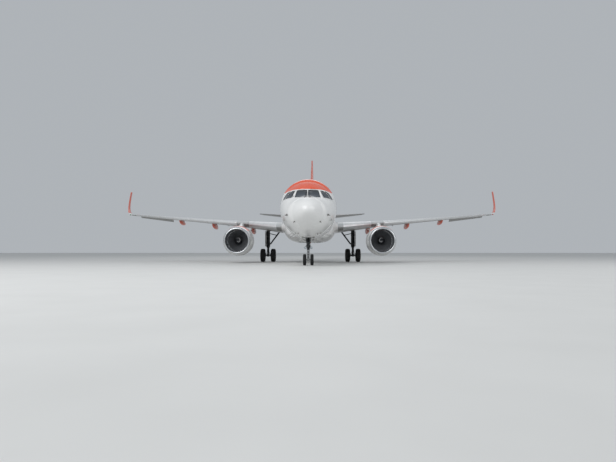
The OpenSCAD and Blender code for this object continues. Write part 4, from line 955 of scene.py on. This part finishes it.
# %% [markdown]
# ## Gear fittings
# Hydraulic pipes and brake lines run down each leg, clamped to it all the way. A pipe is drawn as a curve
# through a few points, given its thickness and turned to a mesh. Lamp lenses are shallow domes.
# %% Pipes and lenses on the nose gear
def pipe(name, points, radius):
    """A pipe through some points: a Bezier curve with automatic handles, rounded and turned to a mesh."""
    line = curve_through(name, points)
    line.data.bevel_depth = radius
    line.data.bevel_resolution = 3
    line.data.use_fill_caps = True
    bpy.ops.object.convert(target="MESH")
    made = bpy.context.active_object
    made.name = made.data.name = name
    return made


def lens(name, spot, outward, radius, squash_to, material):
    """A shallow glass dome that faces outwards."""
    facing = Vector(outward).to_track_quat("Z", "Y").to_matrix().to_4x4()
    cover = dome(name, Matrix.Translation(spot) @ facing, radius, squash_to)
    return dress(settle(cover, 60), "airframe", material)


# Each pipe's points: beside the leg, behind it, and above the ground
FRONT_PIPE = ((0.10, -0.05, 2.40), (0.125, -0.07, 1.95), (0.105, -0.06, 1.52), (0.15, -0.02, 1.40))
REAR_PIPE = ((0.06, 0.10, 2.40), (0.07, 0.115, 1.80), (0.09, 0.12, 1.46), (0.05, 0.115, 1.24))
FORK_PIPE = ((0.045, -0.095, 1.02), (0.075, -0.105, 0.82), (0.06, -0.085, 0.60), (0.085, -0.06, 0.47))


def leg_pipe(points, side, leg_x, leg_y, radius):
    spots = [(leg_x + side * beside, leg_y + behind, height) for beside, behind, height in points]
    return pipe("pipe", spots, radius)


def clamp(leg_x, leg_y, height, half_height, radius, sides):
    return rod("clamp", (leg_x, leg_y, height - half_height), (leg_x, leg_y, height + half_height), radius, sides)


leg_y = NOSE_AXLE_Y
upper, lower = [], []
for side in (1, -1):
    upper.append(leg_pipe(FRONT_PIPE, side, 0, leg_y, 0.012))
    upper.append(leg_pipe(REAR_PIPE, side, 0, leg_y, 0.009))
    upper.append(rod("piston", (side * 0.14, leg_y + 0.165, 1.315), (side * 0.14, leg_y + 0.25, 1.315), 0.020, 16))
    lower.append(leg_pipe(FORK_PIPE, side, 0, leg_y, 0.008))
    lens(f"taxi_lens_{side}", (side * 0.205, leg_y - 0.184, 1.19), (0, -1, 0), 0.064, 0.35, lens_glass)
upper += [clamp(0, leg_y, height, 0.02, 0.108, 32) for height in (1.56, 1.72, 1.92, 2.12)]
lower += [clamp(0, leg_y, height, 0.014, 0.071, 32) for height in (0.56, 0.74, 0.90)]
complete("nose_leg_pipes", upper, soft_black)
complete("nose_fork_pipes", lower, soft_black, "nose_steering")

# %% [markdown]
# ## The nose-wheel bay's lining
# Bays are left in yellow-green primer. The lining is a box with its floor taken off and its walls given
# thickness, stiffened by ribs across the roof as the real one is.
# %% The lining, its ribs and its posts
def box(name, low, high):
    size = [b - a for a, b in zip(low, high)]
    middle = [(a + b) / 2 for a, b in zip(low, high)]
    placing = Matrix.Translation(middle) @ Matrix.Diagonal((*size, 1))
    return moved(start(name, bpy.ops.mesh.primitive_cube_add, size=1), placing)


lining = box("nose_bay_lining", (-0.424, leg_y - 0.924, 1.93), (0.424, leg_y + 0.564, 2.644))
pick(lining, lambda middle, normal: normal.z < -0.9)
bpy.ops.mesh.delete(type="FACE")
bpy.ops.object.mode_set(mode="OBJECT")
modify(lining, "SOLIDIFY", thickness=0.006, offset=-1)
bay_parts = [lining]
for k in range(6):
    rib_y = leg_y - 0.80 + 0.25 * k
    bay_parts.append(box("rib", (-0.415, rib_y, 2.56), (0.415, rib_y + 0.022, 2.638)))
for side in (1, -1):
    for k in range(5):
        post_y = leg_y - 0.75 + 0.27 * k
        wall = side * 0.400
        bay_parts.append(box("post", (wall - 0.014, post_y, 2.02), (wall + 0.014, post_y + 0.020, 2.56)))
complete("nose_bay_lining", bay_parts, primer)

# %% [markdown]
# ## Door links and brake lines
# The gear doors hang from the legs on short rods. Two brake lines run down each main leg, clamped to it
# every 300 mm, and bow out at its foot to reach the brakes. Rods and curves give both their true thickness.
# %% Door links
links = []
for side in (1, -1):
    nose_door = (side * 0.40, leg_y + 0.30, 1.80)
    links.append(rod("link", (side * 0.09, leg_y + 0.10, 1.66), nose_door, 0.014))
for side in (1, -1):
    x, y = side * MAIN_GEAR_X, MAIN_AXLE_Y
    links.append(rod("link", (x + side * 0.10, y - 0.10, 1.62), (x + side * 0.20, y - 0.34, 1.80), 0.02))
complete("door_links", links, light_enamel)

# %% Pipes, brake lines and clamps on the main gear
MAIN_PIPE = ((0.09, -0.165, 2.55), (0.108, -0.18, 2.00), (0.09, -0.175, 1.45), (0.072, -0.13, 1.15),
             (0.144, -0.14, 0.80), (0.234, -0.10, 0.66))
lines = []
for leg_x in (MAIN_GEAR_X, -MAIN_GEAR_X):
    lines += [leg_pipe(MAIN_PIPE, side, leg_x, MAIN_AXLE_Y, 0.015) for side in (1, -1)]
    lines += [clamp(leg_x, MAIN_AXLE_Y, height, 0.025, 0.180, 40) for height in (1.45, 1.75, 2.05, 2.35)]
    lines.append(rod("gland", (leg_x, MAIN_AXLE_Y, 1.27), (leg_x, MAIN_AXLE_Y, 1.335), 0.135, 40))
complete("main_leg_pipes", lines, soft_black)
print("gear fittings made")

# %% [markdown]
# ## Lamps and wicks on the wings and tail
# A red lamp stands on the left wing tip and a green one on the right. Static wicks, thin carbon rods,
# trail from every trailing edge to bleed off charge. They are placed along each edge by shares of it.
# %% Static wicks
def trailing(name):
    """The two ends of a control surface's trailing edge; a rudder's span is upright."""
    spots = [v.co for v in skins[name].data.vertices]
    span = (lambda p: p.z) if name == "rudder" else (lambda p: abs(p.x))
    ends = []
    for limit in (min(map(span, spots)), max(map(span, spots))):
        ends.append(max((p for p in spots if abs(span(p) - limit) < 0.05), key=lambda p: p.y).copy())
    return ends


WICKS = {"aileron_l": 5, "aileron_r": 5, "elevator_l": 4, "elevator_r": 4, "rudder": 5}
for name, count in WICKS.items():
    first, last = trailing(name)
    rods = []
    for k in range(count):
        spot = first.lerp(last, (k + 0.6) / count)
        for ahead, behind, thick, thin in ((0.03, 0.17, 0.006, 0.003), (0.10, 0.02, 0.010, 0.007)):
            rods.append(rod("wick", spot - Vector((0, ahead, 0)), spot + Vector((0, behind, 0)), thick, 8, thin))
    complete(f"static_wicks_{name}", rods, soft_black, body_of_node[name])

# %% Tip lamps
for side, end, material in ((1, "l", red_lens), (-1, "r", green_lens)):
    spots = [v.co for v in skins[f"winglet_{end}"].data.vertices]
    root = min(abs(p.x) for p in spots)
    front = min((p for p in spots if abs(p.x) - root < 0.01), key=lambda p: p.y)
    behind_tip = front + Vector((side * 0.10, 0.030, 0.01))
    lens(f"tip_lamp_{end}", behind_tip, (side * 0.35, -1, 0), 0.055, 1.4, material)
    spot, outward = hit([f"wing_{end}"], (side * 2.75, station(15.0), 0.5), UP)
    lens(f"landing_lamp_{end}", spot, outward, 0.11, 0.3, lens_glass)
print("wicks:", sum(WICKS.values()))

# %% [markdown]
# ## Belly fittings
# The belly fairing takes in air through two scoops for the cabin's cooling packs and closes over the
# main wheels with two large doors. Doors and hatches are seam rings, as on the fuselage, laid on from below.
# %% Scoops, wheel doors and hatches under the belly
scoops = []
for side in (1, -1):
    spot, outward = hit(["belly_fairing"], (side * 0.72, station(12.55), 0.2), UP)
    scoop = rounded_block("scoop", (0.010, 0.30, 0.52), 0.05, 0.03, -0.012)
    scoops.append(moved(scoop, stand(spot, outward, (0, 1, 0))))
complete("pack_air_scoops", scoops, soft_black)

# Beside the middle, station, width, length and line width
BELLY_OPENINGS = ((0.78, 18.05, 1.46, 2.05, 0.016), (0.62, 14.2, 0.62, 0.46, 0.010), (0.62, 15.3, 0.62, 0.46, 0.010),
                  (0.62, 20.2, 0.62, 0.46, 0.010))
belly_seams = [seam_ring("opening", (side * x, station(metres), 1.0), (wide, long), 0.06, line, "belly_fairing", "z")
               for side in (1, -1) for x, metres, wide, long, line in BELLY_OPENINGS]
complete("belly_seams", belly_seams, seam_seal)

# %% [markdown]
# ## Spoilers
# Five panels a side lie flush ahead of the flaps, one inboard of the crank and four outboard of it. Shut,
# they show only as a dark gap all round, so each is a seam ring that is turned to follow the flaps.
# %% Spoiler panels on top of the wings
# Beside the middle, Y, span, chord, and the turn in degrees that follows the flaps
SPOILERS = ((4.35, -1.47, 2.3, 0.60, 7.4), (7.35, -0.86, 1.5, 0.60, 18.3), (8.95, -0.33, 1.5, 0.57, 18.3),
            (10.55, 0.20, 1.5, 0.54, 18.3), (12.10, 0.72, 1.4, 0.50, 18.3))
spoiler_seams = []
for side, end in ((1, "l"), (-1, "r")):
    for x, y, span, chord, turn in SPOILERS:
        middle = (side * x, y, 7.0)
        ring = seam_ring("spoiler", middle, (span, chord), 0, 0.014, f"wing_{end}", "z", 6, side * turn)
        spoiler_seams.append(ring)
complete("spoiler_seams", spoiler_seams, seam_seal)

# %% [markdown]
# ## Cowl strakes
# Each engine cowl carries a strake on its inner shoulder, a thin plate that steers air over the wing at low
# speed. It is a block whose front face is drawn in towards the cowl, stood on the cowl by a ray.
# %% Strakes on the cowls
STRAKE_RISE = math.radians(42)  # up from the horizontal, on the cowl's inner side
for side, end in ((1, "l"), (-1, "r")):
    strake = rounded_block(f"cowl_strake_{end}", (0.30, 0.62, 0.018), 0.006, 0, 0)
    pick(strake, lambda middle, normal: normal.y < -0.9)
    bpy.ops.transform.resize(value=(0.15, 1, 1), center_override=(-0.15, 0, 0))
    bpy.ops.object.mode_set(mode="OBJECT")
    inward = Vector((-side * math.cos(STRAKE_RISE), 0, math.sin(STRAKE_RISE)))
    axis_spot = Vector((side * ENGINE_X, station(LIP_STATION + 1.25), ENGINE_Z))
    spot, outward = hit([f"nacelle_{end}"], axis_spot + inward * 3, -inward)
    moved(strake, stand(spot + outward * 0.09, outward, Vector((0, 1, 0)).cross(outward)))
    dress(settle(strake), "airframe", antenna_paint)
    print(strake.name, "stands at height", round(spot.z, 2))

# %% [markdown]
# ## The studio
# A pale floor that fades into a pale room, a big soft light over the nose and two fill lights. The camera
# stands where the photo was taken: low, about 34 metres ahead of the nose and half a metre to its left.
# %% Floor
floor = start("floor", bpy.ops.mesh.primitive_plane_add, size=400)
floor_paint, shader, put = finish_named("pale_floor_paint", "#D4D4D2", 0.6)
at, parts = place(put)
noise = put("TexNoise", inputs={"Vector": at, "Scale": 0.6, "Detail": 4.0})
feed(shader, Base_Color=coats(put, "#D0D0CE", (noise, 1, "#DADAD8")))
floor.data.materials.append(floor_paint)

# %% Light
world = bpy.data.worlds.new("pale_room")
bpy.context.scene.world = world
world.use_nodes = True
sky = world.node_tree.nodes["Background"]
sky.inputs["Color"].default_value = linear("#E4EAF0")
sky.inputs["Strength"].default_value = 0.55


def lamp(name, spot, aim, size, power):
    made = start(name, bpy.ops.object.light_add, spot, type="AREA")
    made.data.shape = "DISK"
    made.data.size = size
    made.data.energy = power
    made.rotation_euler = (Vector(aim) - Vector(spot)).to_track_quat("-Z", "Y").to_euler()


lamp("key", (-22, -45, 34), (0, -8, 3), 42, 14000)
lamp("fill", (38, -30, 22), (0, 0, 3), 34, 4500)
lamp("back", (0, 45, 34), (0, 5, 4), 30, 1800)

# %% Camera
# Fitted to the photo: the lens, the place, and the turn and rise of the view in degrees
IMAGE_WIDTH = 616
FOCAL_PIXELS = 582.0
SENSOR_WIDTH = 36.0
CAMERA_AT = Vector((0.60, -53.3, 1.0))
YAW = 0.90
PITCH = 1.93
camera_data = bpy.data.cameras.new("camera")
camera = bpy.data.objects.new("camera", camera_data)
bpy.context.collection.objects.link(camera)
camera_data.sensor_width = SENSOR_WIDTH
camera_data.lens = SENSOR_WIDTH * FOCAL_PIXELS / IMAGE_WIDTH
camera_data.clip_end = 1000
camera.location = CAMERA_AT
look = Vector((-math.sin(math.radians(YAW)), math.cos(math.radians(YAW)), math.tan(math.radians(PITCH))))
camera.rotation_euler = look.to_track_quat("-Z", "Y").to_euler()
bpy.context.scene.camera = camera
bpy.context.scene.view_settings.view_transform = "Standard"
print("lens:", round(camera_data.lens, 2))
